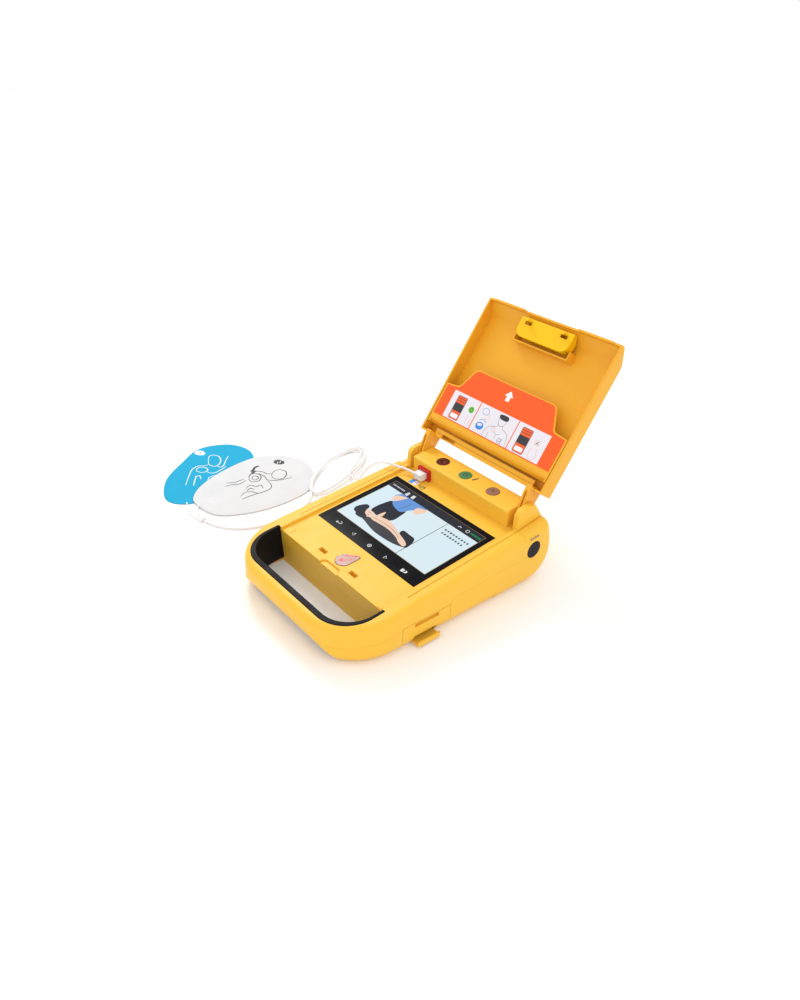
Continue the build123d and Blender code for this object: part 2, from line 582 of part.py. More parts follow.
groove = lid_prism([(LID_REAR - 2, -5), (LID_REAR + 5.5, 3.4), (HINGE_V - 1, HINGE_W - ARM_EYE + 3.4),
                    (HINGE_V - 1, -5)], ARM_IN + 2.5, ARM_IN + 4.9)
arm -= groove
lid += arm + mirrored(arm)
lid -= Pos(0, HINGE.Y, HINGE.Z) * Rot(0, 90, 0) * Cylinder(PIN_R + PIN_FIT, 2 * LID_HALF)
lid -= slab((-ARM_IN, ARM_IN), (LID_REAR - 5, LID_REAR + 1), (-3, BAR_W))
lid += slab((-ARM_IN - 1, ARM_IN + 1), (LID_REAR - 10.5, LID_REAR - s), (BAR_W, BAR_W + 2.2))
lid -= slab((-ARM_IN + 3, ARM_IN - 3), (LID_REAR - 5.6, LID_REAR - 4.8), (BAR_W - 1, BAR_W + 0.8))
lid -= slab((SOCKET_U[0] - 2.5, SOCKET_U[1] + 2.5), (LID_REAR - 6, LID_REAR + 1), (0, SOCKET_W[1] + 3.5))
latch_room = slab((-LATCH_HALF - 1.2, LATCH_HALF + 1.2), (LATCH_V[0] - 9, LATCH_V[0] + 2), (-3, 13))
lid -= latch_room & slab((-60, 60), (LID_FRONT - 3, LATCH_V[0] + 2), (-3, 6.5))
parts["lid_shell"] = opened(lid)

guide_u = LATCH_HALF + 0.6
guides = [slab((side * (guide_u + 0.9) - 0.9, side * (guide_u + 0.9) + 0.9), (-20, LATCH_V[1] + 6), (8, LID_TOP - s))
          for side in (-1, 1)]
parts["latch_guide"] = opened(guides[0] + guides[1] + slab(
    (-guide_u - 1.8, guide_u + 1.8), (LATCH_V[1] + 4, LATCH_V[1] + 6), (8, LID_TOP - s)))

latch_face = Pos(0, (LATCH_V[0] + LATCH_V[1]) / 2) * Rectangle(2 * LATCH_HALF, LATCH_V[1] - LATCH_V[0])
latch_face = fillet(latch_face.vertices().group_by(Axis.Y)[-1], 11)
latch = deck_prism(latch_face, LATCH_FACE, 14)
latch &= lid_prism([(LATCH_V[0], 0), (LATCH_V[1], 0), (LATCH_V[1], 14), (LATCH_V[0] + 8, 14), (LATCH_V[0], 7.4)],
                   -60, 60)
latch -= slab((-LATCH_HALF + 3, LATCH_HALF - 3), (LATCH_V[0] + 3, LATCH_V[1] - 3), (LATCH_FACE + 2.4, 17))
for side in (-1, 1):
    latch -= slab((side * HOOK_U - 5, side * HOOK_U + 5), (HOOK_V - 1.2, HOOK_V + 3.6), (-2, 10))
    stem = slab((side * HOOK_U - 4, side * HOOK_U + 4), (HOOK_V - 2.2, HOOK_V - 0.4), (-4.6, LATCH_FACE + 2.4))
    nose = slab((side * HOOK_U - 4, side * HOOK_U + 4), (HOOK_V - 2.2, HOOK_V + 0.8), (-5.4, -4.2))
    latch += stem + nose
parts["lid_latch"] = opened(latch)

def tray_outline(half, low, high, slope, top):
    """Label panel with its wide tab, in deck coordinates."""
    points = [(-half, low), (-half, high), (half, high), (half, low), (slope[1], low - 2), (slope[0], top),
              (-slope[0], top), (-slope[1], low - 2)]
    face = make_face(Polyline(*points, close=True))
    for u, v, r in ((slope[0], top, 9), (-slope[0], top, 9), (slope[1], low - 2, 7), (-slope[1], low - 2, 7)):
        face = fillet(face.vertices().sort_by_distance((u, v, 0))[0], r)
    return face


tray_face = tray_outline(TRAY_HALF, LABEL_V[0] - 1.5, TRAY_REAR - 6, (TAB_HALF[0] + 1.2, TAB_HALF[1] + 1.2), TAB_V - 1.2)
tray = deck_prism(tray_face, TRAY_FACE, TRAY_FACE + TRAY_T)
rear_wall = lid_prism([(TRAY_REAR - 7, TRAY_FACE), (TRAY_REAR - 4, TRAY_FACE + 0.6), (TRAY_REAR, TRAY_FACE + 7),
                       (TRAY_REAR, LID_TOP - s), (TRAY_REAR - 2, LID_TOP - s), (TRAY_REAR - 2, TRAY_FACE + 7.6),
                       (TRAY_REAR - 5, TRAY_FACE + 2.2), (TRAY_REAR - 7, TRAY_FACE + 2)], -TRAY_HALF, TRAY_HALF)
tray += rear_wall
for side in (-1, 1):
    tray += slab((min(side * TRAY_HALF, side * (TRAY_HALF - 2)), max(side * TRAY_HALF, side * (TRAY_HALF - 2))),
                 (LABEL_V[0] - 1.5, TRAY_REAR), (TRAY_FACE, LID_TOP - s))
label_face = tray_outline(LABEL_HALF, LABEL_V[0], LABEL_V[1], TAB_HALF, TAB_V)
tray -= deck_prism(label_face, TRAY_FACE - 1, TRAY_FACE + LABEL_T)
parts["lid_tray"] = opened(tray)
parts["tray_label"] = opened(deck_prism(label_face, TRAY_FACE, TRAY_FACE + LABEL_T))

# === Battery ====================================================================================
y0, y1 = BATTERY_Y
cap_x = CASE_W / 2 - BATTERY_CAP_T
cap = form & block((cap_x - 11, 150), (y0, y1), (-1, BATTERY_Z))
cap -= block((0, cap_x), (y0 - 1, y1 + 1), (BATTERY_FLOOR, BATTERY_Z + 1))
cap -= block((cap_x + 1.6, 150), FINGER_Y, FINGER_Z)
cap -= block((cap_x - 12, 150), (TAB_Y[0] - 0.4, TAB_Y[1] + 0.4), (-2, 12.4))
parts["battery_end_cap"] = cap
pack = block((BATTERY_IN, cap_x), (y0, y1), (BATTERY_FLOOR, BATTERY_Z))
pack -= block((BATTERY_IN + 2, cap_x - 13), (y0 + 2, y1 - 2), (BATTERY_FLOOR + 2, BATTERY_Z - 2))
pack -= block((cap_x - 11.9, 150), (TAB_Y[0] - 0.4, TAB_Y[1] + 0.4), (-2, 12.4))
parts["battery_case"] = pack
cell = Rot(0, 90, 0) * Cylinder(8.5, 34)
cell_spots = [(x, y) for x in (29, 65) for y in (-62, -43.2, -24.5)]
cells = [Pos(x, y, BATTERY_FLOOR + 13) * cell for x, y in cell_spots]
parts["battery_cells"] = Compound(children=cells)
contacts = [block((BATTERY_IN - 1.6, BATTERY_IN), (y - 3, y + 3), (12, 22)) for y in (-56, -43.2, -30)]
lower_contacts = [block((BATTERY_IN - 3, BATTERY_IN - 1.9), (y - 2.5, y + 2.5), (13, 21)) for y in (-56, -43.2, -30)]
for c in contacts:
    parts["lower_case"] -= block((BATTERY_IN - 3.4, BATTERY_IN), (c.center().Y - 3.4, c.center().Y + 3.4), (11.6, 22.4))
parts["battery_contacts"] = Compound(children=contacts)
parts["bay_contacts"] = Compound(children=lower_contacts)
lever = block((cap_x - 9.5, cap_x - 7), (TAB_Y[0], TAB_Y[1]), (2.6, 9.4))
lever += block((cap_x - 9.5, TAB_X), (TAB_Y[0], TAB_Y[1]), (2.6, 4.6))
lever += block((TAB_X - 2, TAB_X), (TAB_Y[0], TAB_Y[1]), (2.6, 8.6))
lever = fillet(lever.edges().filter_by(Axis.Z).filter_by(lambda e: e.center().X > TAB_X - 0.1), 1.8)
parts["battery_latch"] = lever

# === Port cap and port ==========================================================================
cap_disc = fillet(Cylinder(PORT[2], 2.4).edges().group_by(Axis.Z)[-1], 0.7)
cap_disc += Pos(0, 0, -3.2) * Cylinder(PORT[2] - 3, 4)
parts["port_cap"] = Pos(CASE_W / 2 - 0.8, PORT[0], PORT[1]) * Rot(0, 90, 0) * cap_disc
port_body = Pos(CASE_W / 2 - 14, PORT[0], PORT[1]) * Box(12, 12, 10)
parts["data_port"] = port_body

# === Electronics ================================================================================
parts["main_board"] = block((-91, 1), (-66, 60), (9, 10.6))
parts["discharge_capacitor"] = Pos(50, 38, 22) * Rot(0, 90, 0) * Cylinder(17, 74)
parts["charging_transformer"] = block((-60, -28), (20, 46), (10.6, 32))

names = sorted(parts)
for name in names:
    shape = parts[name]
    export_step(shape, f"parts/{name}.step")
print(len(names), "nodes")
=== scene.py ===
import json
import math

import bmesh
import bpy
from mathutils import Matrix, Vector


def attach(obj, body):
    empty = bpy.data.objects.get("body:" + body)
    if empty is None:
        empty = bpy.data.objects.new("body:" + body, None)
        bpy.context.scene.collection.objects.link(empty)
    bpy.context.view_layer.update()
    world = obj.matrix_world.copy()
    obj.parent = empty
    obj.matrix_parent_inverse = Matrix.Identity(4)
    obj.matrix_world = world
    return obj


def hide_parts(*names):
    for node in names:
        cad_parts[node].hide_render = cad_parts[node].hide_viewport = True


bl_info = {
    "name": "Rescue Defibrillator",
    "version": (1, 0, 0),
    "blender": (4, 5, 0),
    "location": "View3D > Sidebar > Defibrillator",
    "description": "Finishes, printed graphics, pads and lead of a portable defibrillator with its lid open",
    "category": "Add Mesh",
}

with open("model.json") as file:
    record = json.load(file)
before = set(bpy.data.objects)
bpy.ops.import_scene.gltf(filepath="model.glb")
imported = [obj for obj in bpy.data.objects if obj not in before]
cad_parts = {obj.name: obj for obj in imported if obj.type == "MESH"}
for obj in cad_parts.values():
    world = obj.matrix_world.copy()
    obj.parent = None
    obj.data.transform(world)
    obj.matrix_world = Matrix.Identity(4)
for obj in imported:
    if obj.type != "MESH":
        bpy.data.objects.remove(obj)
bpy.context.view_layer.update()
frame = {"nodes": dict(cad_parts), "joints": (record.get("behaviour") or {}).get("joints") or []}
NODES = frame["nodes"]
MM = 0.001  # metres in a millimetre

TILT = math.radians(6.0)
DECK = Matrix.Translation((0.0, -42.0 * MM, 51.7 * MM)) @ Matrix.Rotation(TILT, 4, "X") @ Matrix.Scale(MM, 4)
HINGE = Vector(next(j for j in frame["joints"] if j["name"] == "lid_hinge")["pos_m"])
LID = (
    Matrix.Translation(HINGE)
    @ Matrix.Rotation(math.radians(-130.0), 4, "X")
    @ Matrix.Translation(-HINGE)
    @ DECK
)

BRANCH_DIAMETER = 0.0022  # the two short leads at the pads, in metres
LABEL_FACE = 4.2  # the tray label's printed face over the lid's own ground
CONSOLE_TOP = 22.8  # the console's keys over the deck
SHOCK_TOP = 0.8  # the shock key over the deck
SIDE_FACE = 0.110  # right side of the casing

# Camera: the view's right, down and ahead directions, its place, lens and shift.
CAMERA_RIGHT = Vector((0.64853, 0.75925, 0.05424))
CAMERA_DOWN = Vector((0.40358, -0.28256, -0.87022))
CAMERA_AHEAD = Vector((-0.64539, 0.58626, -0.48966))
CAMERA_PLACE = Vector((0.55714, -0.50024, 0.55821))
SENSOR, LENS, SHIFT = 36.0, 28.75, -0.03
SKY_STRENGTH, FLOOR_RADIUS, FLOOR_GLOW = 1.0, 6.0, 0.075
# Studio lamps: name, place, aim, size, power, tint.
LAMPS = (
    ("Key", (-1.1, 0.35, 1.25), (0, 0, 0.05), 0.5, 8.0, (1.0, 0.985, 0.96)),
    ("Front fill", (0.7, -1.5, 1.1), (0, 0, 0.05), 1.4, 3.0, (1.0, 1.0, 1.0)),
    ("Right fill", (1.6, 0.3, 0.8), (0, 0, 0.1), 1.2, 2.0, (1.0, 0.99, 0.98)),
)

# Route of the pads' lead, in metres: plug to coil, the loose turns, coil to yoke.
LEAD_IN = [
    (-0.0706, 0.0912, 0.0719), (-0.0801, 0.0912, 0.0719), (-0.0925, 0.0830, 0.0734), (-0.1040, 0.0770, 0.0756),
    (-0.1175, 0.0735, 0.0705), (-0.1295, 0.0730, 0.0605), (-0.1405, 0.0745, 0.0490), (-0.1510, 0.0775, 0.0370),
    (-0.1610, 0.0820, 0.0250), (-0.1710, 0.0870, 0.0150), (-0.1820, 0.0915, 0.0085),
]
LEAD_OUT = [
    (-0.1890, 0.0230, 0.0028), (-0.1785, 0.0095, 0.0018), (-0.1715, -0.0070, 0.0016), (-0.1675, -0.0250, 0.0016),
    (-0.1655, -0.0435, 0.0016), (-0.1665, -0.0615, 0.0016), (-0.1710, -0.0790, 0.0016), (-0.1795, -0.0945, 0.0016),
    (-0.1915, -0.1070, 0.0016), (-0.2060, -0.1155, 0.0016), (-0.2215, -0.1195, 0.0016),
]
# Loose turns: their middle, first and last lap, points to a lap, and where each lap starts (its number, half
# width, half length, height, and drift of its middle).
COIL_MIDDLE = Vector((-0.2262, 0.0938))
COIL_SPAN = (-0.02, 2.60)
COIL_POINTS = 14
COIL_LAPS = (
    (0, 0.0185, 0.0640, 0.0052, 0.0, 0.0), (1, 0.0262, 0.0790, 0.0040, 0.0005, 0.0),
    (2, 0.0205, 0.0690, 0.0034, 0.0010, -0.002), (3, 0.0262, 0.0740, 0.0018, -0.0010, -0.002),
)
BLUE_LEAD = [
    (-0.2250, -0.1222, 0.0014), (-0.2360, -0.1248, 0.0013), (-0.2475, -0.1250, 0.0013), (-0.2590, -0.1222, 0.0014),
    (-0.2695, -0.1165, 0.0015),
]
WHITE_LEAD = [
    (-0.2250, -0.1182, 0.0018), (-0.2345, -0.1186, 0.0019), (-0.2440, -0.1158, 0.0021), (-0.2525, -0.1100, 0.0024),
    (-0.2590, -0.1025, 0.0026),
]

BLUE_OUTLINE = [
    (-266, -112), (-292, -134), (-338, -112), (-372, -70), (-394, -32), (-383, 8), (-352, 24), (-318, 12),
    (-296, -24), (-270, -66),
]
WHITE_OUTLINE = [
    (-256, -109), (-222, -100), (-202, -62), (-197, -14), (-206, 30), (-234, 58), (-274, 68), (-304, 52),
    (-321, 18), (-316, -30), (-298, -78), (-276, -104),
]


# --- Sizes and colours that a user would change ---------------------------------------------------
def colour_property(name, text, value):
    return bpy.props.FloatVectorProperty(
        name=name, description=text, subtype="COLOR", size=4, min=0.0, max=1.0, default=value
    )


class DEFIB_PG_colours(bpy.types.PropertyGroup):
    case: colour_property("Casing", "Moulded colour of both shells", (0.90, 0.52, 0.045, 1.0))
    # Lid colour: the lid's moulded yellow with painted shade, which makes it darker and more orange than the casing.
    lid: colour_property("Lid", "Moulded colour of the lid", (0.86, 0.42, 0.022, 1.0))
    latch: colour_property("Latch", "Moulded colour of the lid latch", (0.88, 0.53, 0.0, 1.0))
    label: colour_property("Label", "Printed ground of the tray label", (0.90, 0.11, 0.015, 1.0))
    blue_pad: colour_property("Blue pad", "Liner film of the first pad", (0.0, 0.37, 0.62, 1.0))
    white_pad: colour_property("White pad", "Foam of the second pad", (0.70, 0.70, 0.71, 1.0))
    grip: colour_property("Grip", "Rubber of the grip liner", (0.006, 0.005, 0.006, 1.0))


class DEFIB_PG_sizes(bpy.types.PropertyGroup):
    lead_diameter: bpy.props.FloatProperty(
        name="Lead diameter", description="Outer diameter of the pads' lead", default=0.003, unit="LENGTH"
    )
    stroke: bpy.props.FloatProperty(
        name="Line width", description="Width of the printed lines on the pads", default=0.0014, unit="LENGTH"
    )
    print_height: bpy.props.FloatProperty(
        name="Print height", description="Height of printed layers over their ground", default=0.00006, unit="LENGTH"
    )


def colours():
    return bpy.context.scene.defib_colours


def sizes():
    return bpy.context.scene.defib_sizes


# --- Shared shader groups -------------------------------------------------------------------------
def new_group(name, inputs, outputs):
    """Empty shader group. An input's kind follows from its default: a tuple is a colour."""
    group = bpy.data.node_groups.new(name, "ShaderNodeTree")
    for label, value in inputs.items():
        kind = "NodeSocketColor" if isinstance(value, tuple) else "NodeSocketFloat"
        group.interface.new_socket(name=label, in_out="INPUT", socket_type=kind).default_value = value
    for label, kind in outputs:
        group.interface.new_socket(name=label, in_out="OUTPUT", socket_type=kind)
    nodes = group.nodes
    return group, nodes.new("NodeGroupInput"), nodes.new("NodeGroupOutput")


def feed(tree, socket, value):
    """Gives a socket a constant or a link."""
    if isinstance(value, (int, float, tuple)):
        socket.default_value = value
    else:
        tree.links.new(value, socket)


def noise(tree, coordinates, scale, detail=2.0, rough=0.5):
    node = tree.nodes.new("ShaderNodeTexNoise")
    for label, value in (("Vector", coordinates), ("Scale", scale), ("Detail", detail), ("Roughness", rough)):
        feed(tree, node.inputs[label], value)
    return node.outputs["Fac"]


def ramp(tree, value, low, high, out_low, out_high):
    node = tree.nodes.new("ShaderNodeMapRange")
    for label, number in (("Value", value), ("From Min", low), ("From Max", high), ("To Min", out_low),
                          ("To Max", out_high)):
        feed(tree, node.inputs[label], number)
    return node.outputs["Result"]


def math_node(tree, operation, a, b):
    node = tree.nodes.new("ShaderNodeMath")
    node.operation = operation
    for socket, number in zip(node.inputs, (a, b)):
        feed(tree, socket, number)
    return node.outputs[0]


def mix_colour(tree, factor, a, b):
    node = tree.nodes.new("ShaderNodeMix")
    node.data_type = "RGBA"
    for index, value in ((0, factor), (6, a), (7, b)):
        feed(tree, node.inputs[index], value)
    return node.outputs[2]


def make_moulded_group():
    """Moulded plastic: slow tone drift, fine spark-eroded grain, softened edges and faint rub marks."""
    tree, given, result = new_group(
        "Moulded plastic surface",
        {"Color": (0.8, 0.5, 0.05, 1.0), "Shade": (0.6, 0.3, 0.02, 1.0), "Roughness": 0.4, "Grain scale": 2600.0,
         "Grain height": 0.00002, "Edge radius": 0.0006},
        [("Color", "NodeSocketColor"), ("Roughness", "NodeSocketFloat"), ("Normal", "NodeSocketVector")],
    )
    place = tree.nodes.new("ShaderNodeTexCoord").outputs["Object"]
    slow = noise(tree, place, 9.0, 3.0)
    fine = noise(tree, place, given.outputs["Grain scale"], 1.0)
    smear = noise(tree, place, 60.0, 5.0, 0.6)
    tone = ramp(tree, slow, 0.35, 0.7, 0.0, 0.16)
    speck = ramp(tree, fine, 0.3, 0.75, 0.0, 0.05)
    colour = mix_colour(tree, math_node(tree, "ADD", tone, speck), given.outputs["Color"], given.outputs["Shade"])
    rub = ramp(tree, smear, 0.45, 0.75, -0.03, 0.07)
    rough = math_node(tree, "ADD", given.outputs["Roughness"], rub)
    bevel = tree.nodes.new("ShaderNodeBevel")
    bevel.samples = 4
    tree.links.new(given.outputs["Edge radius"], bevel.inputs["Radius"])
    bump = tree.nodes.new("ShaderNodeBump")
    bump.inputs["Strength"].default_value = 1.0
    tree.links.new(given.outputs["Grain height"], bump.inputs["Distance"])
    tree.links.new(fine, bump.inputs["Height"])
    tree.links.new(bevel.outputs["Normal"], bump.inputs["Normal"])
    tree.links.new(colour, result.inputs["Color"])
    tree.links.new(rough, result.inputs["Roughness"])
    tree.links.new(bump.outputs["Normal"], result.inputs["Normal"])
    return tree


def make_fleck_group():
    """Two tones mixed by a cloudy and a fine pattern, with a matching bump height."""
    tree, given, result = new_group(
        "Cloud and fleck",
        {"Color": (0.5, 0.5, 0.5, 1.0), "Second": (0.3, 0.3, 0.3, 1.0), "Amount": 0.4, "Cloud scale": 40.0,
         "Fleck scale": 1500.0, "Roughness": 0.5},
        [("Color", "NodeSocketColor"), ("Roughness", "NodeSocketFloat"), ("Height", "NodeSocketFloat")],
    )
    place = tree.nodes.new("ShaderNodeTexCoord").outputs["Object"]
    cloud = noise(tree, place, given.outputs["Cloud scale"], 4.0, 0.55)
    fleck = noise(tree, place, given.outputs["Fleck scale"], 1.0)
    both = math_node(tree, "MULTIPLY", ramp(tree, cloud, 0.35, 0.7, 0.0, 1.0), given.outputs["Amount"])
    colour = mix_colour(tree, both, given.outputs["Color"], given.outputs["Second"])
    rough = math_node(tree, "ADD", given.outputs["Roughness"], ramp(tree, cloud, 0.3, 0.7, -0.05, 0.06))
    tree.links.new(colour, result.inputs["Color"])
    tree.links.new(rough, result.inputs["Roughness"])
    tree.links.new(fleck, result.inputs["Height"])
    return tree


GROUPS = {}


def group_node(tree, name, values):
    node = tree.nodes.new("ShaderNodeGroup")
    node.node_tree = GROUPS[name]
    for label, value in values.items():
        node.inputs[label].default_value = value
    return node


def shaded(colour, k=0.72):
    """A deeper, warmer tone of a colour."""
    return (colour[0] * (k + 0.12), colour[1] * k, colour[2] * k * 0.8, 1.0)


def finish(name, group, values, links, constants):
    """Material whose Principled shader is fed by one of the shared groups."""
    material = bpy.data.materials.new(name)
    material.use_nodes = True
    tree = material.node_tree
    shader = tree.nodes["Principled BSDF"]
    made = group_node(tree, group, values)
    for output, socket in links:
        tree.links.new(made.outputs[output], shader.inputs[socket])
    for socket, value in constants.items():
        shader.inputs[socket].default_value = value
    return material, made


COLOUR = ("Color", "Base Color")
ROUGHNESS = ("Roughness", "Roughness")


def moulded(name, colour, rough=0.38, grain=0.00002, edge=0.0006, coat=0.0, sub=0.0, spec=0.3):
    """Material: moulded plastic."""
    colour = tuple(colour)
    return finish(
        name, "moulded",
        {"Color": colour, "Shade": shaded(colour), "Roughness": rough, "Grain height": grain, "Edge radius": edge},
        (COLOUR, ROUGHNESS, ("Normal", "Normal")),
        {"Coat Weight": coat, "Specular IOR Level": spec, "Subsurface Weight": sub, "Subsurface Scale": 0.002},
    )[0]


def flecked(name, colour, second, amount=0.4, rough=0.5, cloud=40.0, fleck=1500.0, bump=0.00001, metal=0.0,
            sheen=0.0, coat=0.0, spec=0.5):
    """Material: two-tone surface with a fine bump."""
    material, made = finish(
        name, "fleck",
        {"Color": tuple(colour), "Second": tuple(second), "Amount": amount, "Cloud scale": cloud,
         "Fleck scale": fleck, "Roughness": rough},
        (COLOUR, ROUGHNESS),
        {"Metallic": metal, "Sheen Weight": sheen, "Specular IOR Level": spec, "Coat Weight": coat},
    )
    tree = material.node_tree
    node = tree.nodes.new("ShaderNodeBump")
    node.inputs["Distance"].default_value = bump
    tree.links.new(made.outputs["Height"], node.inputs["Height"])
    tree.links.new(node.outputs["Normal"], tree.nodes["Principled BSDF"].inputs["Normal"])
    return material


def glowing(name, colour, strength=1.0, rough=0.2):
    """Material: lit part of the display, seen through glossy glass."""
    return finish(
        name, "fleck",
        {"Color": tuple(colour), "Second": shaded(colour, 0.93), "Amount": 0.25, "Cloud scale": 12.0,
         "Fleck scale": 6000.0, "Roughness": rough},
        (("Color", "Emission Color"), ROUGHNESS),
        {"Base Color": (0.01, 0.01, 0.012, 1.0), "Emission Strength": strength, "Specular IOR Level": 0.1},
    )[0]


MATERIALS = {}
# Printing inks: key, name, colour, second tone, roughness.
INKS = (
    ("ink", "Black ink", (0.02, 0.02, 0.025), (0.05, 0.05, 0.06), 0.4),
    ("ink_grey", "Grey ink", (0.18, 0.18, 0.2), (0.3, 0.3, 0.32), 0.45),
    ("ink_orange", "Orange ink", (0.85, 0.10, 0.01), (0.7, 0.08, 0.01), 0.4),
    ("ink_pink", "Pink ink", (0.90, 0.42, 0.36), (0.8, 0.35, 0.3), 0.4),
    ("ink_green", "Green ink", (0.14, 0.55, 0.02), (0.1, 0.42, 0.02), 0.4),
    ("ink_blue", "Blue ink", (0.02, 0.25, 0.72), (0.02, 0.2, 0.6), 0.4),
    ("ink_red", "Red ink", (0.72, 0.015, 0.01), (0.6, 0.01, 0.01), 0.35),
    ("ink_white", "White ink", (0.85, 0.85, 0.87), (0.75, 0.75, 0.78), 0.4),
)
# Lit parts of the display: key, name, colour, strength.
LIT = (
    ("lit_sky", "Lit pale blue", (0.68, 0.82, 0.90), 1.0),
    ("lit_bar", "Lit dark bar", (0.004, 0.008, 0.016), 1.0),
    ("lit_black", "Lit black", (0.004, 0.007, 0.018), 1.0),
    ("lit_grey", "Lit charcoal", (0.035, 0.035, 0.045), 1.0),
    ("lit_skin", "Lit skin", (0.88, 0.62, 0.47), 1.0),
    ("lit_shirt", "Lit blue shirt", (0.12, 0.30, 0.72), 1.0),
    ("lit_white", "Lit white", (0.75, 0.78, 0.8), 1.0),
    ("lit_green", "Lit green", (0.0, 0.28, 0.08), 1.0),
    ("lit_line", "Lit line", (0.05, 0.08, 0.10), 1.0),
    ("lit_rim", "Lit rim", (0.50, 0.28, 0.10), 0.6),
)


def make_materials():
    c = colours()
    GROUPS["moulded"] = make_moulded_group()
    GROUPS["fleck"] = make_fleck_group()
    m = MATERIALS
    m["case"] = moulded("Casing plastic", c.case, 0.42, 0.000015, 0.0008)
    # Lid plastic: the casing's moulded yellow, darkened and turned more orange by painted shade of the lid's inner
    # face.
    m["lid"] = moulded("Lid plastic with painted shade", c.lid, 0.40, 0.000015, 0.0007)
    m["latch"] = moulded("Latch plastic", c.latch, 0.40, 0.00001, 0.0006)
    m["grip"] = flecked("Grip rubber", c.grip, (0.011, 0.010, 0.013, 1), 0.4, 0.5, 60.0, 2200.0, 0.00003, spec=0.12)
    m["label"] = flecked("Label film", c.label, shaded(c.label, 0.85), 0.3, 0.33, 20.0, 3000.0, 0.000004,
                         coat=0.05, spec=0.25)
    m["label_white"] = flecked("Label white", (0.78, 0.75, 0.80, 1), (0.70, 0.66, 0.74, 1), 0.3, 0.35, 30.0, 3000.0,
                               0.000003)
    for key, name, colour, second, rough in INKS:
        m[key] = flecked(name, (*colour, 1), (*second, 1), 0.3, rough)
    m["glass"] = flecked("Screen glass", (0.002, 0.002, 0.003, 1), (0.004, 0.004, 0.006, 1), 0.3, 0.16, 30.0, 900.0,
                         0.0000005, spec=0.06)
    for key, name, colour, strength in LIT:
        m[key] = glowing(name, (*colour, 1), strength)
    m["green_key"] = moulded("Green key plastic", (0.045, 0.22, 0.075, 1), 0.34, 0.000006, 0.0005, coat=0.1)
    m["pink_key"] = moulded("Pink grey key plastic", (0.28, 0.14, 0.09, 1), 0.38, 0.00001, 0.0005)
    m["shock_key"] = moulded("Shock key plastic", (0.46, 0.26, 0.22, 1), 0.34, 0.000008, 0.0005, coat=0.1)
    m["bronze"] = flecked("Bronze lens ring", (0.13, 0.02, 0.006, 1), (0.035, 0.004, 0.002, 1), 0.8, 0.36, 160.0,
                          3000.0, 0.000004, metal=0.2, spec=0.2)
    m["socket"] = moulded("Socket red plastic", (0.55, 0.012, 0.012, 1), 0.32, 0.000008, 0.0004)
    m["plug"] = moulded("Plug plastic", (0.82, 0.80, 0.80, 1), 0.35, 0.000008, 0.0005, sub=0.05)
    m["steel"] = flecked("Turned steel", (0.55, 0.55, 0.56, 1), (0.4, 0.4, 0.42, 1), 0.5, 0.3, 90.0, 2500.0, 0.000005,
                         metal=1.0)
    m["rubber"] = flecked("Grey rubber", (0.05, 0.05, 0.055, 1), (0.03, 0.03, 0.035, 1), 0.5, 0.6, 70.0, 1800.0,
                          0.00002)
    m["cap"] = flecked("Port cap rubber", (0.018, 0.014, 0.02, 1), (0.020, 0.015, 0.020, 1), 0.5, 0.55, 90.0, 2400.0,
                       0.00003, spec=0.12)
    m["lead"] = moulded("Lead jacket", (0.83, 0.82, 0.83, 1), 0.28, 0.000004, 0.0001, coat=0.3, sub=0.15)
    m["board"] = flecked("Circuit board", (0.01, 0.12, 0.04, 1), (0.02, 0.2, 0.07, 1), 0.6, 0.4, 120.0, 1500.0)
    m["can"] = flecked("Metal can", (0.5, 0.5, 0.52, 1), (0.35, 0.35, 0.37, 1), 0.5, 0.35, 90.0, 1500.0, metal=0.9)
    m["dark"] = moulded("Dark plastic", (0.02, 0.02, 0.025, 1), 0.45, 0.00001, 0.0004)
    m["gold"] = flecked("Contact plating", (0.7, 0.45, 0.12, 1), (0.55, 0.34, 0.08, 1), 0.4, 0.25, 90.0, 1500.0,
                        metal=1.0)
    m["blue_pad"] = flecked("Blue liner film", c.blue_pad, shaded(c.blue_pad, 0.9), 0.25, 0.46, 25.0, 900.0, 0.000012,
                            spec=0.12)
    m["white_pad"] = flecked("White foam", c.white_pad, (0.62, 0.62, 0.64, 1), 0.35, 0.62, 35.0, 1400.0, 0.00003,
                             sheen=0.05, spec=0.2)


def assign(material, *names):
    """Gives a carried-over sub-part its finish."""
    for name in names:
        data = NODES[name].data
        data.materials.clear()
        data.materials.append(MATERIALS[material])


# --- Mesh helpers ----------------------------------------------------------------------------------
def add_object(name, mesh, body):
    obj = bpy.data.objects.new(name, mesh)
    bpy.context.scene.collection.objects.link(obj)
    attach(obj, body)
    return obj


def span(p0, p1, p2, p3, steps):
    """Catmull-Rom points from p1 up to p2."""
    for j in range(steps):
        t = j / steps
        yield 0.5 * ((2 * p1) + (p2 - p0) * t + (2 * p0 - 5 * p1 + 4 * p2 - p3) * t * t
                     + (3 * p1 - p0 - 3 * p2 + p3) * t ** 3)


def smooth_closed(points, steps=6):
    """Catmull-Rom curve through a closed outline."""
    out = []
    n = len(points)
    for i in range(n):
        out += span(*(Vector(points[(i + k) % n]) for k in (-1, 0, 1, 2)), steps)
    return out


def smooth_open(points, steps=6):
    """Catmull-Rom curve through an open line."""
    pts = [Vector(points[0])] + [Vector(p) for p in points] + [Vector(points[-1])]
    out = []
    for i in range(1, len(pts) - 2):
        out += span(*pts[i - 1:i + 3], steps)
    out.append(pts[-1])
    return out


def arc(cx, cy, r, a0, a1, n=24):
    """Points on an arc, angles in degrees."""
    return [
        Vector((cx + r * math.cos(math.radians(a0 + (a1 - a0) * i / n)),
                cy + r * math.sin(math.radians(a0 + (a1 - a0) * i / n))))
        for i in range(n + 1)
    ]


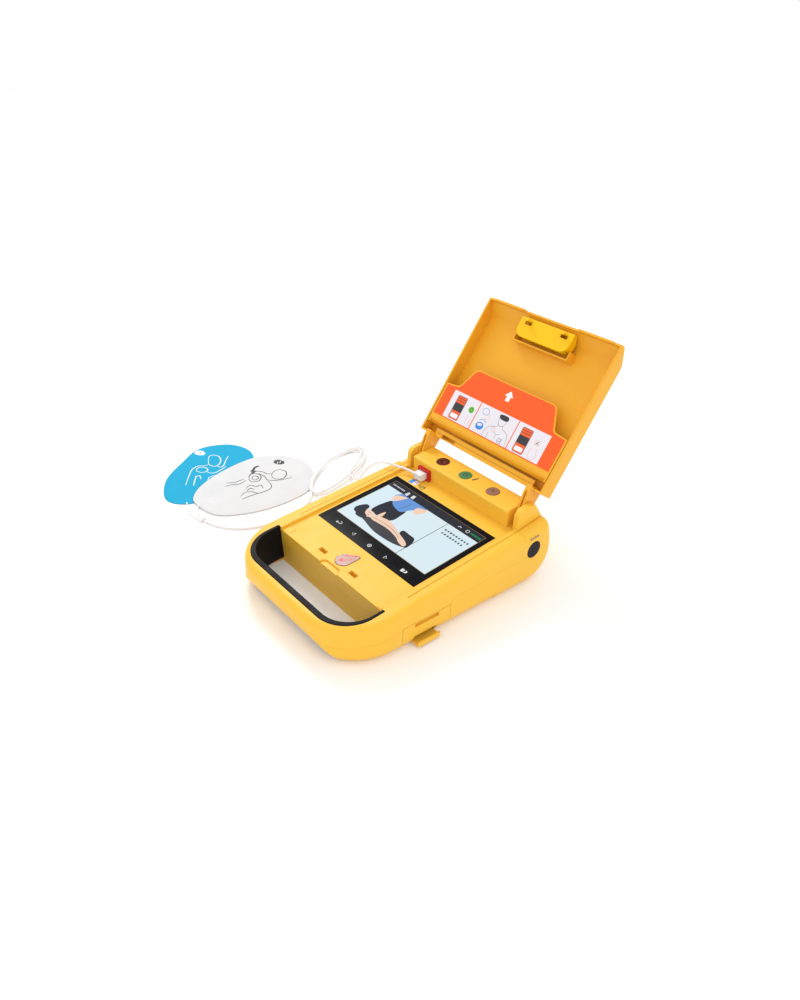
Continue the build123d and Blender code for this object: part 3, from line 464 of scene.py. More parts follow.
def rounded(x0, y0, x1, y1, r, n=5):
    """Rounded rectangle outline."""
    out = []
    for cx, cy, a in ((x1 - r, y1 - r, 0), (x0 + r, y1 - r, 90), (x0 + r, y0 + r, 180), (x1 - r, y0 + r, 270)):
        out += arc(cx, cy, r, a, a + 90, n)
    return out


def ribbon(points, width, taper=False):
    """Outline of a stroke of that width along an open line, in the plane."""
    left, right = [], []
    n = len(points)
    for i, p in enumerate(points):
        a = points[max(i - 1, 0)]
        b = points[min(i + 1, n - 1)]
        d = (b - a).normalized() if (b - a).length else Vector((1, 0))
        side = Vector((-d.y, d.x)) * width / 2
        if taper and n > 3:
            side *= 0.35 + 0.65 * math.sin(math.pi * (0.08 + 0.84 * i / (n - 1)))
        left.append(p + side)
        right.append(p - side)
    return left, right


class Print:
    """Collects flat printed shapes and builds them as one thin closed mesh."""

    def __init__(self, place, base, surface=None):
        self.place = place
        self.base = base
        self.surface = surface
        self.bm = bmesh.new()
        self.slots = []

    def slot_of(self, material):
        if material not in self.slots:
            self.slots.append(material)
        return self.slots.index(material)

    def lift(self, p, height):
        ground = self.surface(p.x, p.y) if self.surface else self.base
        return self.place @ Vector((p.x, p.y, ground + height))

    def shape(self, points, material, top=1):
        """Filled outline, reaching down into the layer below its own."""
        step = sizes().print_height / MM
        points = [Vector(p) for p in points]
        area = sum(a.x * b.y - b.x * a.y for a, b in zip(points, points[1:] + points[:1]))
        if area < 0:
            points.reverse()
        upper = [self.bm.verts.new(self.lift(p, top * step)) for p in points]
        lower = [self.bm.verts.new(self.lift(p, (top - 2) * step)) for p in points]
        index = self.slot_of(material)
        faces = [self.bm.faces.new(upper), self.bm.faces.new(lower[::-1])]
        for i in range(len(points)):
            j = (i + 1) % len(points)
            faces.append(self.bm.faces.new((lower[i], lower[j], upper[j], upper[i])))
        for face in faces:
            face.material_index = index

    def blob(self, points, material, top=1, steps=6):
        """Filled outline that curves through its points."""
        self.shape(smooth_closed(points, steps), material, top)

    def stroke(self, points, width, material, top=1, taper=False, steps=6):
        """Line of ink along an open curve, as a strip of quads."""
        step = sizes().print_height / MM
        points = smooth_open(points, steps) if steps else [Vector(p) for p in points]
        left, right = ribbon(points, width, taper)
        index = self.slot_of(material)
        rows = []
        for a, b in zip(left, right):
            rows.append([self.bm.verts.new(self.lift(p, h)) for p, h in
                         ((a, top * step), (b, top * step), (b, -step), (a, -step))])
        faces = []
        for r, s in zip(rows, rows[1:]):
            for k in range(4):
                faces.append(self.bm.faces.new((r[k], s[k], s[(k + 1) % 4], r[(k + 1) % 4])))
        faces.append(self.bm.faces.new(rows[0][::-1]))
        faces.append(self.bm.faces.new(rows[-1]))
        for face in faces:
            face.material_index = index

    def ring(self, cx, cy, r, width, material, top=1):
        self.stroke(arc(cx, cy, r, 0, 356, 30), width, material, top, steps=0)

    def draw(self, rows):
        """Adds a table's shapes: kind, ink, layer, width or smoothing, points (of a ring: centre and radius)."""
        for kind, ink, top, setting, points in rows:
            if kind == "flat":
                self.shape(points, ink, top)
            elif kind == "blob":
                self.blob(points, ink, top, setting)
            elif kind == "ring":
                self.ring(*points, setting, ink, top)
            else:
                taper, steps = STROKES[kind]
                self.stroke(points, setting, ink, top, taper, steps)

    def build(self, name, body):
        bmesh.ops.triangulate(self.bm, faces=[f for f in self.bm.faces if len(f.verts) > 4])
        bmesh.ops.recalc_face_normals(self.bm, faces=self.bm.faces)
        mesh = bpy.data.meshes.new(name)
        self.bm.to_mesh(mesh)
        self.bm.free()
        for material in self.slots:
            mesh.materials.append(MATERIALS[material])
        return add_object(name, mesh, body)


# --- Printed graphics, in millimetres on their own ground ------------------------------------------
# Kinds of stroke: tapered or not, and how many steps smooth each span.
STROKES = {"line": (False, 0), "curve": (False, 6), "curve3": (False, 3), "pen": (True, 6), "pen3": (True, 3)}

# Lit picture, millimetres on the deck.
PICTURE = (
    ("flat", "lit_rim", 1, 0, rounded(-77.0, 21.4, 77.6, 113.6, 0.8)),
    ("flat", "lit_sky", 2, 0, rounded(-76.4, 22.0, 77.0, 113.0, 0.6)),
    ("flat", "lit_bar", 3, 0, [(-76.4, 100.4), (77.0, 100.4), (77.0, 113.0), (-76.4, 113.0)]),
    ("line", "lit_line", 3, 0.7, [(30.0, 22.0), (30.0, 100.4)]),
    # rescuer kneeling behind the patient
    ("blob", "lit_black", 3, 4, [(-50, 52), (-52, 61), (-51, 71), (-48.4, 81), (-43, 82), (-37.7, 78),
     (-26, 76), (-20, 79.5), (-18, 70), (-17.5, 58), (-25, 51), (-38, 50)]),
    ("blob", "lit_shirt", 4, 4, [(-53, 90), (-52.4, 96), (-48, 100.4), (-39, 100.4), (-26.7, 100.4),
     (-7.2, 100.4), (-9, 96), (-15.1, 94.7), (-15.3, 89.3), (-18.9, 84.1), (-21.8, 76.9), (-26.6, 74.2),
     (-37, 76.1), (-44.6, 79.8), (-46, 84)]),
    ("pen", "lit_line", 5, 0.6, [(-30.4, 77.4), (-27.4, 85.6), (-26.4, 97)]),
    ("blob", "lit_skin", 5, 4, [(-50.4, 84.3), (-52.6, 89), (-51.5, 94), (-44.6, 97.7), (-38.6, 98.8),
     (-40.2, 94.1), (-43.1, 86.8), (-46, 83.7)]),
    ("blob", "lit_skin", 5, 4, [(-16, 89.3), (-15.6, 94.7), (-9, 98), (-3.6, 98.3), (-4.6, 89.4), (-8.6, 84),
     (-12.6, 85)]),
    # patient lying in front, head to the left
    ("blob", "lit_grey", 4, 4, [(-49, 36), (-38, 33), (-15, 28.4), (11, 29.6), (26, 33.6), (31, 38),
     (26.6, 51.6), (14, 52), (5, 46), (-12, 43), (-24, 43.6), (-38, 42.6)]),
    ("blob", "lit_black", 5, 3, [(7, 46), (5.4, 54), (16, 54), (26.4, 52.4), (31, 38.4), (26, 34), (18, 40)]),
    ("blob", "lit_skin", 5, 4, [(-54.4, 48.3), (-52, 51.4), (-47.6, 51), (-43, 51), (-40.4, 48), (-40, 44.6),
     (-41.4, 41.6), (-45, 39.6), (-50.5, 42)]),
    ("blob", "lit_skin", 6, 4, [(-40, 43), (-39, 47.6), (-34, 51), (-26.6, 53), (-18.7, 54), (-8.5, 52.3),
     (9.4, 46.2), (19.3, 43.4), (26.8, 39.5), (26.4, 34.9), (17.1, 36.2), (9.1, 39.8), (-8.2, 42.8),
     (-23.6, 42), (-34, 41)]),
    ("blob", "lit_skin", 6, 3, [(-36.4, 49.4), (-37, 53), (-35.4, 61.4), (-33.6, 60), (-31.6, 52.8)]),
    ("pen", "lit_line", 7, 0.5, [(-38.6, 44.6), (-30, 45.6), (-14, 46.8), (0, 45.4), (12, 41.6)]),
    ("blob", "lit_black", 6, 4, [(-65.2, 38.1), (-67.4, 42.3), (-66.7, 47.8), (-63.2, 54.4), (-58.7, 55.8),
     (-55.6, 53.6), (-54, 48.3), (-50.7, 43.3), (-45, 41), (-43.6, 37.7), (-45.2, 34.3), (-51.1, 33),
     (-56.4, 33.5), (-59, 36.1), (-62, 36.6)]),
    ("line", "lit_black", 7, 0.5, [(-48.4, 47.6), (-46.4, 47.9)]),
    ("line", "lit_line", 7, 0.5, [(-45.6, 43.2), (-44, 43.9)]),
    # status bar
    ("flat", "lit_white", 4, 0, arc(-45.5, 106.2, 2.0, 0, 350, 14)),
    ("flat", "lit_white", 4, 0, rounded(-48.0, 101.6, -43.0, 104.4, 1.2)),
    ("flat", "lit_white", 4, 0, [(-37.5, 102.0), (-33.0, 102.0), (-34.4, 108.6), (-38.6, 108.0)]),
    ("line", "lit_white", 4, 0.8, [(41.5, 104.5), (43.4, 107.8), (44.2, 105.6), (46.0, 106.5)]),
    ("ring", "lit_white", 4, 0.7, (55.5, 106.4, 2.2)),
    # touch keys under the picture
    ("line", "lit_white", 2, 0.75, [(-58.6, 10.8), (-60.2, 9.0), (-58.6, 7.4)]),
    ("curve3", "lit_white", 2, 0.75, [(-60.0, 9.0), (-54.0, 9.0), (-52.8, 10.4), (-53.6, 12.2), (-55.6, 12.4)]),
    ("line", "lit_white", 2, 0.6, [(-26.4, 11.3), (-30.2, 9.0), (-26.4, 6.7), (-26.4, 11.4)]),
    ("ring", "lit_white", 2, 0.75, (0.4, 9.0, 2.2)),
    ("flat", "lit_white", 2, 0, arc(0.4, 9.0, 0.8, 0, 350, 14)),
    ("line", "lit_white", 2, 0.6, [(26.6, 11.3), (30.4, 9.0), (26.6, 6.7), (26.6, 11.4)]),
    ("flat", "lit_white", 2, 0, rounded(54.6, 6.6, 58.6, 11.2, 0.7)),
    ("blob", "lit_white", 2, 4, [(59.2, 7.2), (62.2, 7.8), (62.6, 10.6), (60.0, 11.4), (60.6, 9.4)]),
)

# White panels and arrow of the tray label.
LABEL_GROUND = (
    ("flat", "label_white", 1, 0, [(-78.5, 75.6), (-33.6, 75.6), (-33.6, 111.4), (-78.5, 111.4)]),
    ("flat", "label_white", 1, 0, [(-32.2, 75.6), (27.8, 75.6), (27.8, 111.4), (-32.2, 111.4)]),
    ("flat", "label_white", 1, 0, [(29.2, 75.6), (76.0, 75.6), (76.0, 111.4), (29.2, 111.4)]),
    ("flat", "ink_white", 1, 0, [(-2.0, 49.0), (-8.4, 56.0), (-4.9, 56.0), (-4.9, 62.0), (0.9, 62.0),
     (0.9, 56.0), (4.4, 56.0)]),
)
# Small drawings on the white panels.
LABEL_MARKS = (
    ("flat", "ink_green", 2, 0, arc(-42.0, 89.5, 4.2, 0, 350, 22)),
    ("ring", "ink", 3, 0.6, (-42.0, 89.5, 2.1)),
    ("pen", "ink_pink", 2, 0.5, [(-40.5, 96.0), (-42.6, 103.0), (-41.0, 110.5)]),
    ("pen", "ink_pink", 2, 0.5, [(-36.0, 100.0), (-37.4, 106.0), (-36.4, 111.0)]),
    ("ring", "ink_pink", 2, 0.5, (63.5, 89.5, 3.4)),
    ("line", "ink", 3, 0.7, [(62.0, 91.6), (64.8, 87.6), (63.2, 90.4), (65.4, 90.8)]),
    ("curve", "ink_pink", 2, 0.5, [(61.0, 96.0), (59.0, 102.0), (60.4, 109.0), (66.0, 110.4), (69.0, 104.0),
     (66.4, 96.0)]),
    # middle panel: pads to the left, a torso with both pad places to the right
    ("blob", "label_white", 2, 6, [(-26, 82), (-22, 79.5), (-17, 81), (-16, 85), (-20, 87.5), (-25, 86)]),
    ("curve", "ink_blue", 2, 0.55, [(-26, 82), (-22, 79.5), (-17, 81), (-16, 85), (-20, 87.5), (-25, 86),
     (-26, 82)]),
    ("curve", "ink_pink", 2, 0.5, [(-16, 85), (-12, 88), (-15, 92), (-20, 91)]),
    ("blob", "ink_blue", 2, 6, [(-26, 101), (-22, 97.5), (-16, 98.5), (-14.5, 103), (-18, 106.5), (-24, 106)]),
    ("blob", "label_white", 3, 6, [(-24, 100.4), (-20.6, 98.6), (-17, 100), (-19, 102), (-23, 102.4)]),
    ("curve", "ink_blue", 2, 0.6, [(-24, 96), (-19, 93), (-13, 95.5)]),
    ("blob", "ink", 2, 6, [(0, 79.0), (4, 77.8), (11, 77.8), (14, 79.5), (13.4, 83), (8, 84), (1.5, 83)]),
    ("pen", "ink_grey", 2, 0.5, [(1, 82), (1.6, 87), (4, 90.5), (8, 91.5), (11.5, 89), (13, 83)]),
    ("pen", "ink_grey", 2, 0.5, [(3.6, 90.5), (3, 93.5), (-3, 95.5), (-8, 98), (-10.5, 104), (-12, 112)]),
    ("pen", "ink_grey", 2, 0.5, [(11, 90), (12, 93.5), (18, 95.5), (22.5, 98.5), (24, 104), (25.5, 112)]),
    ("pen", "ink_grey", 2, 0.5, [(-4.5, 103), (-4, 112)]),
    ("pen", "ink_grey", 2, 0.5, [(18, 103), (18.5, 112)]),
    ("pen", "ink_grey", 2, 0.5, [(3, 100), (7, 102.5), (12, 100)]),
    ("pen", "ink_grey", 2, 0.5, [(7.4, 103.5), (7.6, 108)]),
    ("ring", "ink_pink", 2, 0.5, (0.4, 98.6, 2.6)),
    ("ring", "ink_grey", 2, 0.55, (15.4, 107.5, 2.9)),
    ("curve", "ink_grey", 3, 0.5, [(14.0, 107.0), (15.4, 108.6), (17.2, 106.4)]),
)

# Printed marks on the deck and its keys: piece, body, height of the ground over the deck, rows.
KEY_PRINTS = (
    ("shock_print", "shock_key", SHOCK_TOP, (
        ("line", "ink_red", 1, 1.7, [(7.4, -13.6), (-3.2, -22.0), (8.6, -20.4), (1.6, -28.2)]),
        ("flat", "ink_red", 1, 0, [(-2.4, -32.4), (-1.6, -26.6), (4.2, -30.4)]),
    )),
    ("power_print", "power_key", CONSOLE_TOP, (
        ("ring", "ink", 1, 0.8, (-4.5, 161.0, 3.1)),
        ("line", "green_key", 2, 1.9, [(-4.5, 161.2), (-4.5, 165.2)]),
        ("line", "ink", 3, 0.8, [(-4.5, 161.4), (-4.5, 165.0)]),
    )),
    ("mode_print", "mode_key", CONSOLE_TOP, (
        ("pen3", "ink", 1, 1.1, [(41.0, 158.6), (41.0, 163.2)]),
        ("pen3", "ink", 1, 0.9, [(39.0, 160.6), (43.0, 161.4)]),
    )),
    ("deck_marks", "case", 0.0, (
        ("flat", "ink_blue", 1, 0, [(-66.0, 123.2), (-60.0, 123.2), (-60.0, 131.6), (-66.0, 131.6)]),
        ("flat", "label_white", 1, 0, [(-60.0, 123.2), (-53.6, 123.2), (-53.6, 131.6), (-60.0, 131.6)]),
        ("line", "ink_orange", 2, 0.7, [(-58.6, 125.6), (-55.2, 129.6)]),
        ("line", "ink", 1, 0.8, [(-49.6, 124.4), (-49.6, 130.0)]),
        ("line", "ink", 1, 0.6, [(-51.0, 128.4), (-48.2, 128.4)]),
        ("flat", "ink", 1, 0, rounded(-47.0, 123.6, -40.4, 129.8, 1.6)),
        ("flat", "case", 2, 0, rounded(-46.2, 124.4, -41.2, 129.0, 1.2)),
        ("line", "ink", 3, 0.8, [(-45.6, 125.2), (-41.8, 128.2)]),
    )),
)

# Line figure on the blue pad.
BLUE_LINES = (
    [(-355, -39), (-364, -33), (-365, -26), (-357, -21.5), (-345, -25), (-336, -33), (-335, -41), (-344, -44),
     (-355, -39)],
    [(-334, -37), (-328, -35), (-330, -29), (-340, -20), (-350, -10)],
    [(-344, -45), (-344, -51), (-348, -59), (-345, -69), (-333, -80), (-311, -97)],
    [(-325, -73), (-317, -80), (-304, -89)],
    [(-328, -57), (-320, -53), (-319, -45), (-322, -36), (-326, -27)],
    [(-304, -68), (-311, -62), (-312, -54), (-311, -46)],
    [(-324, -77), (-323, -70), (-314, -73)],
    [(-337, -67), (-343, -63), (-342, -55), (-335, -52), (-329, -55), (-329, -63), (-337, -67)],
)
# Line figure on the white pad.
WHITE_LINES = (
    [(-267, 10), (-273, 18), (-272, 26), (-264, 30.5), (-255, 26), (-250, 18), (-252, 10), (-259, 6.5),
     (-267, 10)],
    [(-269, 12), (-272, 6), (-279, 4), (-285, -1), (-286, -8), (-280, -19)],
    [(-260, -3), (-253, 2), (-248, 13), (-245, 29)],
    [(-277, -20), (-283, -13), (-282, -7), (-274, -4), (-266, -8), (-262, -15), (-265, -22), (-271, -23),
     (-277, -20)],
    [(-273, -18), (-277, -13), (-274, -9), (-268, -11), (-267, -17), (-273, -18)],
    [(-275, -57), (-274, -49), (-270, -40), (-273, -27)],
    [(-282, -52), (-277, -42), (-278, -27)],
    [(-242, -54), (-247, -44), (-244, -36), (-236, -31), (-235, -22), (-237, -11), (-245, -5), (-259, -3)],
    [(-235, -56), (-236, -42), (-235, -27)],
    [(-255, -38), (-259, -29), (-252, -24), (-251, -17), (-243, -19)],
    [(-280, -3), (-268, -1), (-259, -3)],
    [(-249, -40), (-252, -33), (-247, -30)],
)


# --- Marks set out by rule ----------------------------------------------------------------------
def marks_tree():
    """Geometry Nodes: a row of short printed bars of uneven length, as stand-ins for lines of writing."""
    tree = bpy.data.node_groups.new("Printed marks", "GeometryNodeTree")
    face = tree.interface
    face.new_socket(name="Geometry", in_out="INPUT", socket_type="NodeSocketGeometry")
    ids = {}
    for label, kind in (("Count", "NodeSocketInt"), ("Step", "NodeSocketVector"), ("Size", "NodeSocketVector"),
                        ("Seed", "NodeSocketInt"), ("Ink", "NodeSocketMaterial")):
        ids[label] = face.new_socket(name=label, in_out="INPUT", socket_type=kind).identifier
    face.new_socket(name="Geometry", in_out="OUTPUT", socket_type="NodeSocketGeometry")
    new, link = tree.nodes.new, tree.links.new
    given, result = new("NodeGroupInput"), new("NodeGroupOutput")
    line = new("GeometryNodeMeshLine")
    link(given.outputs["Count"], line.inputs["Count"])
    link(given.outputs["Step"], line.inputs["Offset"])
    bar = new("GeometryNodeMeshCube")
    link(given.outputs["Size"], bar.inputs["Size"])
    spread = new("FunctionNodeRandomValue")
    spread.data_type = "FLOAT_VECTOR"
    spread.inputs["Min"].default_value = (0.55, 0.8, 1.0)
    spread.inputs["Max"].default_value = (1.0, 1.0, 1.0)
    link(given.outputs["Seed"], spread.inputs["Seed"])
    copies = new("GeometryNodeInstanceOnPoints")
    link(line.outputs["Mesh"], copies.inputs["Points"])
    link(bar.outputs["Mesh"], copies.inputs["Instance"])
    link(spread.outputs["Value"], copies.inputs["Scale"])
    real = new("GeometryNodeRealizeInstances")
    link(copies.outputs["Instances"], real.inputs["Geometry"])
    paint = new("GeometryNodeSetMaterial")
    link(real.outputs["Geometry"], paint.inputs["Geometry"])
    link(given.outputs["Ink"], paint.inputs["Material"])
    link(paint.outputs["Geometry"], result.inputs["Geometry"])
    return tree, ids


def marks(name, place, start, count, step, size, seed, ink, body):
    """A row of printed bars, made plain."""
    if "marks" not in GROUPS:
        GROUPS["marks"] = marks_tree()
    tree, ids = GROUPS["marks"]
    source = bpy.data.objects.new(name + "_source", bpy.data.meshes.new(name + "_source"))
    bpy.context.scene.collection.objects.link(source)
    modifier = source.modifiers.new("Marks", "NODES")
    modifier.node_group = tree
    for label, value in (("Count", count), ("Step", step), ("Size", size), ("Seed", seed), ("Ink", MATERIALS[ink])):
        modifier[ids[label]] = value
    bpy.context.view_layer.update()
    evaluated = source.evaluated_get(bpy.context.evaluated_depsgraph_get())
    mesh = bpy.data.meshes.new_from_object(evaluated)
    mesh.name = name
    bpy.data.objects.remove(source)
    mesh.transform(place @ Matrix.Translation(start))
    return add_object(name, mesh, body)


# --- Operators ------------------------------------------------------------------------------------
class DEFIB_OT_stage(bpy.types.Operator):
    """Floor, studio lights and the camera"""

    bl_idname = "defib.stage"
    bl_label = "Stage"

    def execute(self, context):
        scene = context.scene
        camera = bpy.data.objects.new("Camera", bpy.data.cameras.new("Camera"))
        scene.collection.objects.link(camera)
        turn = Matrix((CAMERA_RIGHT, -CAMERA_DOWN, -CAMERA_AHEAD)).transposed().to_4x4()
        camera.matrix_world = Matrix.Translation(CAMERA_PLACE) @ turn
        camera.data.sensor_width = SENSOR
        camera.data.lens = LENS
        camera.data.shift_y = SHIFT
        camera.data.clip_start = 0.01
        camera.data.clip_end = 50.0
        scene.camera = camera

        mesh = bpy.data.meshes.new("Floor")
        bm = bmesh.new()
        bmesh.ops.create_circle(bm, cap_ends=True, radius=FLOOR_RADIUS, segments=64)
        bm.to_mesh(mesh)
        bm.free()
        floor = bpy.data.objects.new("Floor", mesh)
        floor.location.z = -0.0002
        scene.collection.objects.link(floor)
        surface = flecked("Studio floor", (0.92, 0.92, 0.925, 1), (0.9, 0.9, 0.905, 1), 0.3, 0.55, 1.0, 400.0,
                          0.0000001)
        shader = surface.node_tree.nodes["Principled BSDF"]
        shader.inputs["Emission Color"].default_value = (1.0, 1.0, 1.0, 1.0)
        shader.inputs["Emission Strength"].default_value = FLOOR_GLOW
        mesh.materials.append(surface)

        scene.view_settings.view_transform = "Standard"
        world = bpy.data.worlds.new("Studio")
        scene.world = world
        world.use_nodes = True
        background = world.node_tree.nodes["Background"]
        background.inputs["Color"].default_value = (1.0, 1.0, 1.0, 1.0)
        background.inputs["Strength"].default_value = SKY_STRENGTH
        for name, place, aim, size, power, tint in LAMPS:
            light = bpy.data.lights.new(name, "AREA")
            light.shape = "DISK"
            light.size = size
            light.energy = power
            light.color = tint
            lamp = bpy.data.objects.new(name, light)
            scene.collection.objects.link(lamp)
            lamp.location = place
            lamp.rotation_mode = "QUATERNION"
            lamp.rotation_quaternion = (Vector(aim) - Vector(place)).to_track_quat("-Z", "Y")
        return {"FINISHED"}


class DEFIB_OT_lead(bpy.types.Operator):
    """The pads' lead from plug to yoke, with its loose turns, and the two short branches"""

    bl_idname = "defib.lead"
    bl_label = "Lead"

    def curve(self, name, points, diameter):
        data = bpy.data.curves.new(name, "CURVE")
        data.dimensions = "3D"
        spline = data.splines.new("NURBS")
        spline.points.add(len(points) - 1)
        for point, co in zip(spline.points, points):
            point.co = (*co, 1.0)
            point.radius = diameter / 2
        spline.order_u = 3
        spline.use_endpoint_u = True
        spline.resolution_u = 8
        data.bevel_depth = 1.0  # the points' radius is the lead's own
        data.bevel_resolution = 4
        data.use_fill_caps = True
        data.materials.append(MATERIALS["lead"])
        obj = bpy.data.objects.new(name, data)
        bpy.context.scene.collection.objects.link(obj)
        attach(obj, "case")
        return obj

    def length(self, obj):
        """Length of the curve's own line."""
        depth = obj.data.bevel_depth
        obj.data.bevel_depth = 0.0
        bpy.context.view_layer.update()
        mesh = bpy.data.meshes.new_from_object(obj.evaluated_get(bpy.context.evaluated_depsgraph_get()))
        total = sum((mesh.vertices[e.vertices[0]].co - mesh.vertices[e.vertices[1]].co).length for e in mesh.edges)
        bpy.data.meshes.remove(mesh)
        obj.data.bevel_depth = depth
        return total

    def turns(self):
        """Loose turns of the coil: half widths, half lengths, drift and height change from turn to turn."""
        points = []
        laps = COIL_LAPS
        start, end = COIL_SPAN
        steps = round((end - start) * COIL_POINTS)
        for i in range(steps + 1):
            lap = start + (end - start) * i / steps
            k = min(int(max(lap, 0)), 2)
            f = max(lap, 0) - k
            a, b, z, du, dv = (laps[k][j] * (1 - f) + laps[k + 1][j] * f for j in range(1, 6))
            angle = lap * 2 * math.pi
            turn = math.radians(27 + 2.5 * math.sin(lap * 2.1))
            c, s = math.cos(angle), math.sin(angle)
            x, y = a * c + du, b * s + dv
            wave = 0.0011 * math.sin(angle * 2 + lap)
            points.append((COIL_MIDDLE.x + x * math.cos(turn) - y * math.sin(turn),
                           COIL_MIDDLE.y + x * math.sin(turn) + y * math.cos(turn), max(0.0016, z + wave)))
        return points

    def execute(self, context):
        d = sizes().lead_diameter
        lead = self.curve("pads_lead", LEAD_IN + self.turns() + LEAD_OUT, d)
        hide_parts("pads_lead_in", "lead_coil", "pads_lead_out")
        assign("plug", "pads_plug")
        assign("lead", "lead_yoke")
        round(self.length(lead), 3)
        for name, route, node in (
            ("blue_lead", BLUE_LEAD, "blue_pad_lead"), ("white_lead", WHITE_LEAD, "white_pad_lead"),
        ):
            branch = self.curve(name, route, BRANCH_DIAMETER)
            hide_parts(node)
            round(self.length(branch), 4)
        return {"FINISHED"}


class DEFIB_OT_pads(bpy.types.Operator):
    """The blue and the white electrode pad, with their printed line figures"""

    bl_idname = "defib.pads"
    bl_label = "Pads"

    def plate(self, name, outline, lowest, thick, crown, slope, rim):
        """Pad as a closed foam plate, crowned in the middle, with a rolled edge."""
        edge = smooth_closed(outline, 8)
        centre = sum(edge, Vector((0, 0))) / len(edge)

        def ground(x, y):
            return lowest + slope[0] * (x - centre.x) + slope[1] * (y - centre.y) + slope[2]

        bm = bmesh.new()
        rings = []
        profile = [(0.35, 0.0), (0.7, 0.0), (0.93, 0.0), (0.992, 0.12), (1.0, 0.5), (0.992, 0.88),
                   (0.965, 1.0), (0.93, 1.0), (0.8, 1.0), (0.6, 1.0), (0.4, 1.0), (0.2, 1.0)]
        for radial, up in profile:
            ring = []
            for p in edge:
                q = centre + (p - centre) * radial
                bulge = crown * (1 - radial ** 2) if up == 1.0 else 0.0
                ring.append(bm.verts.new((q.x * MM, q.y * MM, (ground(q.x, q.y) + up * thick + bulge) * MM)))
            rings.append(ring)
        for a, b in zip(rings, rings[1:]):
            for i in range(len(edge)):
                j = (i + 1) % len(edge)
                bm.faces.new((a[i], a[j], b[j], b[i]))
        for ring, up in ((rings[0], 0.0), (rings[-1], 1.0)):
            q = centre
            pole = bm.verts.new((q.x * MM, q.y * MM, (ground(q.x, q.y) + up * thick + (crown if up else 0)) * MM))
            for i in range(len(edge)):
                j = (i + 1) % len(edge)
                bm.faces.new((ring[i], ring[j], pole) if up else (ring[j], ring[i], pole))
        bmesh.ops.recalc_face_normals(bm, faces=bm.faces)
        mesh = bpy.data.meshes.new(name + "_foam")
        bm.to_mesh(mesh)
        bm.free()
        mesh.shade_smooth()
        mesh.materials.append(MATERIALS[rim])

        def top(x, y):
            q = Vector((x, y)) - centre
            best = min(((p - centre).normalized().dot(q.normalized()) * -1, (p - centre).length) for p in edge) \
                if q.length > 1e-6 else (0, 1.0)
            radial = min(1.0, q.length / best[1]) if q.length > 1e-6 else 0.0
            return ground(x, y) + thick + crown * (1 - radial ** 2)

        return mesh, top

    def execute(self, context):
        plain = Matrix.Scale(MM, 4)
        width = sizes().stroke / MM
        mesh, top = self.plate("blue_pad", BLUE_OUTLINE, lowest=0.08, thick=0.9, crown=0.3, slope=(0, 0, 0),
                               rim="blue_pad")
        blue = add_object("blue_electrode", mesh, "case")
        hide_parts("blue_pad")
        ink = Print(plain, 0.0, top)
        for line in BLUE_LINES:
            ink.stroke(line, width, "ink_white", taper=True)
        ink.blob([(-373, -37), (-377, -32), (-386, -33), (-390, -39), (-385, -45), (-377, -43)], "ink_white")
        ink.stroke([(-379, -40), (-382, -36)], 1.6, "blue_pad", top=2, steps=0)
        ink.build("blue_print", "case")

        mesh, top = self.plate("white_pad", WHITE_OUTLINE, lowest=1.75, thick=1.0, crown=0.35,
                               slope=(-0.0190, 0, 0), rim="white_pad")
        white = add_object("white_electrode", mesh, "case")
        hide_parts("white_pad")
        ink = Print(plain, 0.0, top)
        for line in WHITE_LINES:
            ink.stroke(line, width, "ink", taper=True)
        ink.stroke([(-297, 8), (-296, 1), (-290, -6)], 3.6, "ink")
        ink.shape([(-293, -8), (-287, -2), (-281, -12)], "ink")
        ink.blob([(-283, 40), (-288, 44), (-296, 41), (-298, 35), (-293, 30), (-285, 33)], "ink")
        ink.stroke([(-288, 33), (-292, 36), (-288, 37), (-292, 41)], 1.2, "ink_white", top=2, steps=0)
        ink.ring(-254, -86, 5.4, 0.7, "label_white")
        ink.build("white_print", "case")
        return {"FINISHED"}


class DEFIB_OT_display(bpy.types.Operator):
    """The lit picture behind the screen glass: a rescuer beside a lying patient, a status bar and key marks"""

    bl_idname = "defib.display"
    bl_label = "Display"

    def execute(self, context):
        assign("glass", "screen_glass")
        p = Print(DECK, 0.0)
        p.draw(PICTURE)
        p.build("screen_picture", "case")
        size = (3.1, 3.1, 0.2)
        marks("screen_words_upper", DECK, (36.8, 90.4, 0.15), 9, (4.3, 0, 0), size, 3, "lit_line", "case")
        marks("screen_words_lower", DECK, (38.0, 83.8, 0.15), 8, (4.3, 0, 0), size, 8, "lit_line", "case")
        marks("screen_status_words", DECK, (-72.5, 106.0, 0.2), 9, (2.4, 0, 0), (1.5, 2.4, 0.2), 5, "lit_white",
              "case")
        marks("screen_clock", DECK, (61.5, 106.4, 0.2), 6, (2.6, 0, 0), (2.0, 3.0, 0.2), 2, "lit_green", "case")
        return {"FINISHED"}


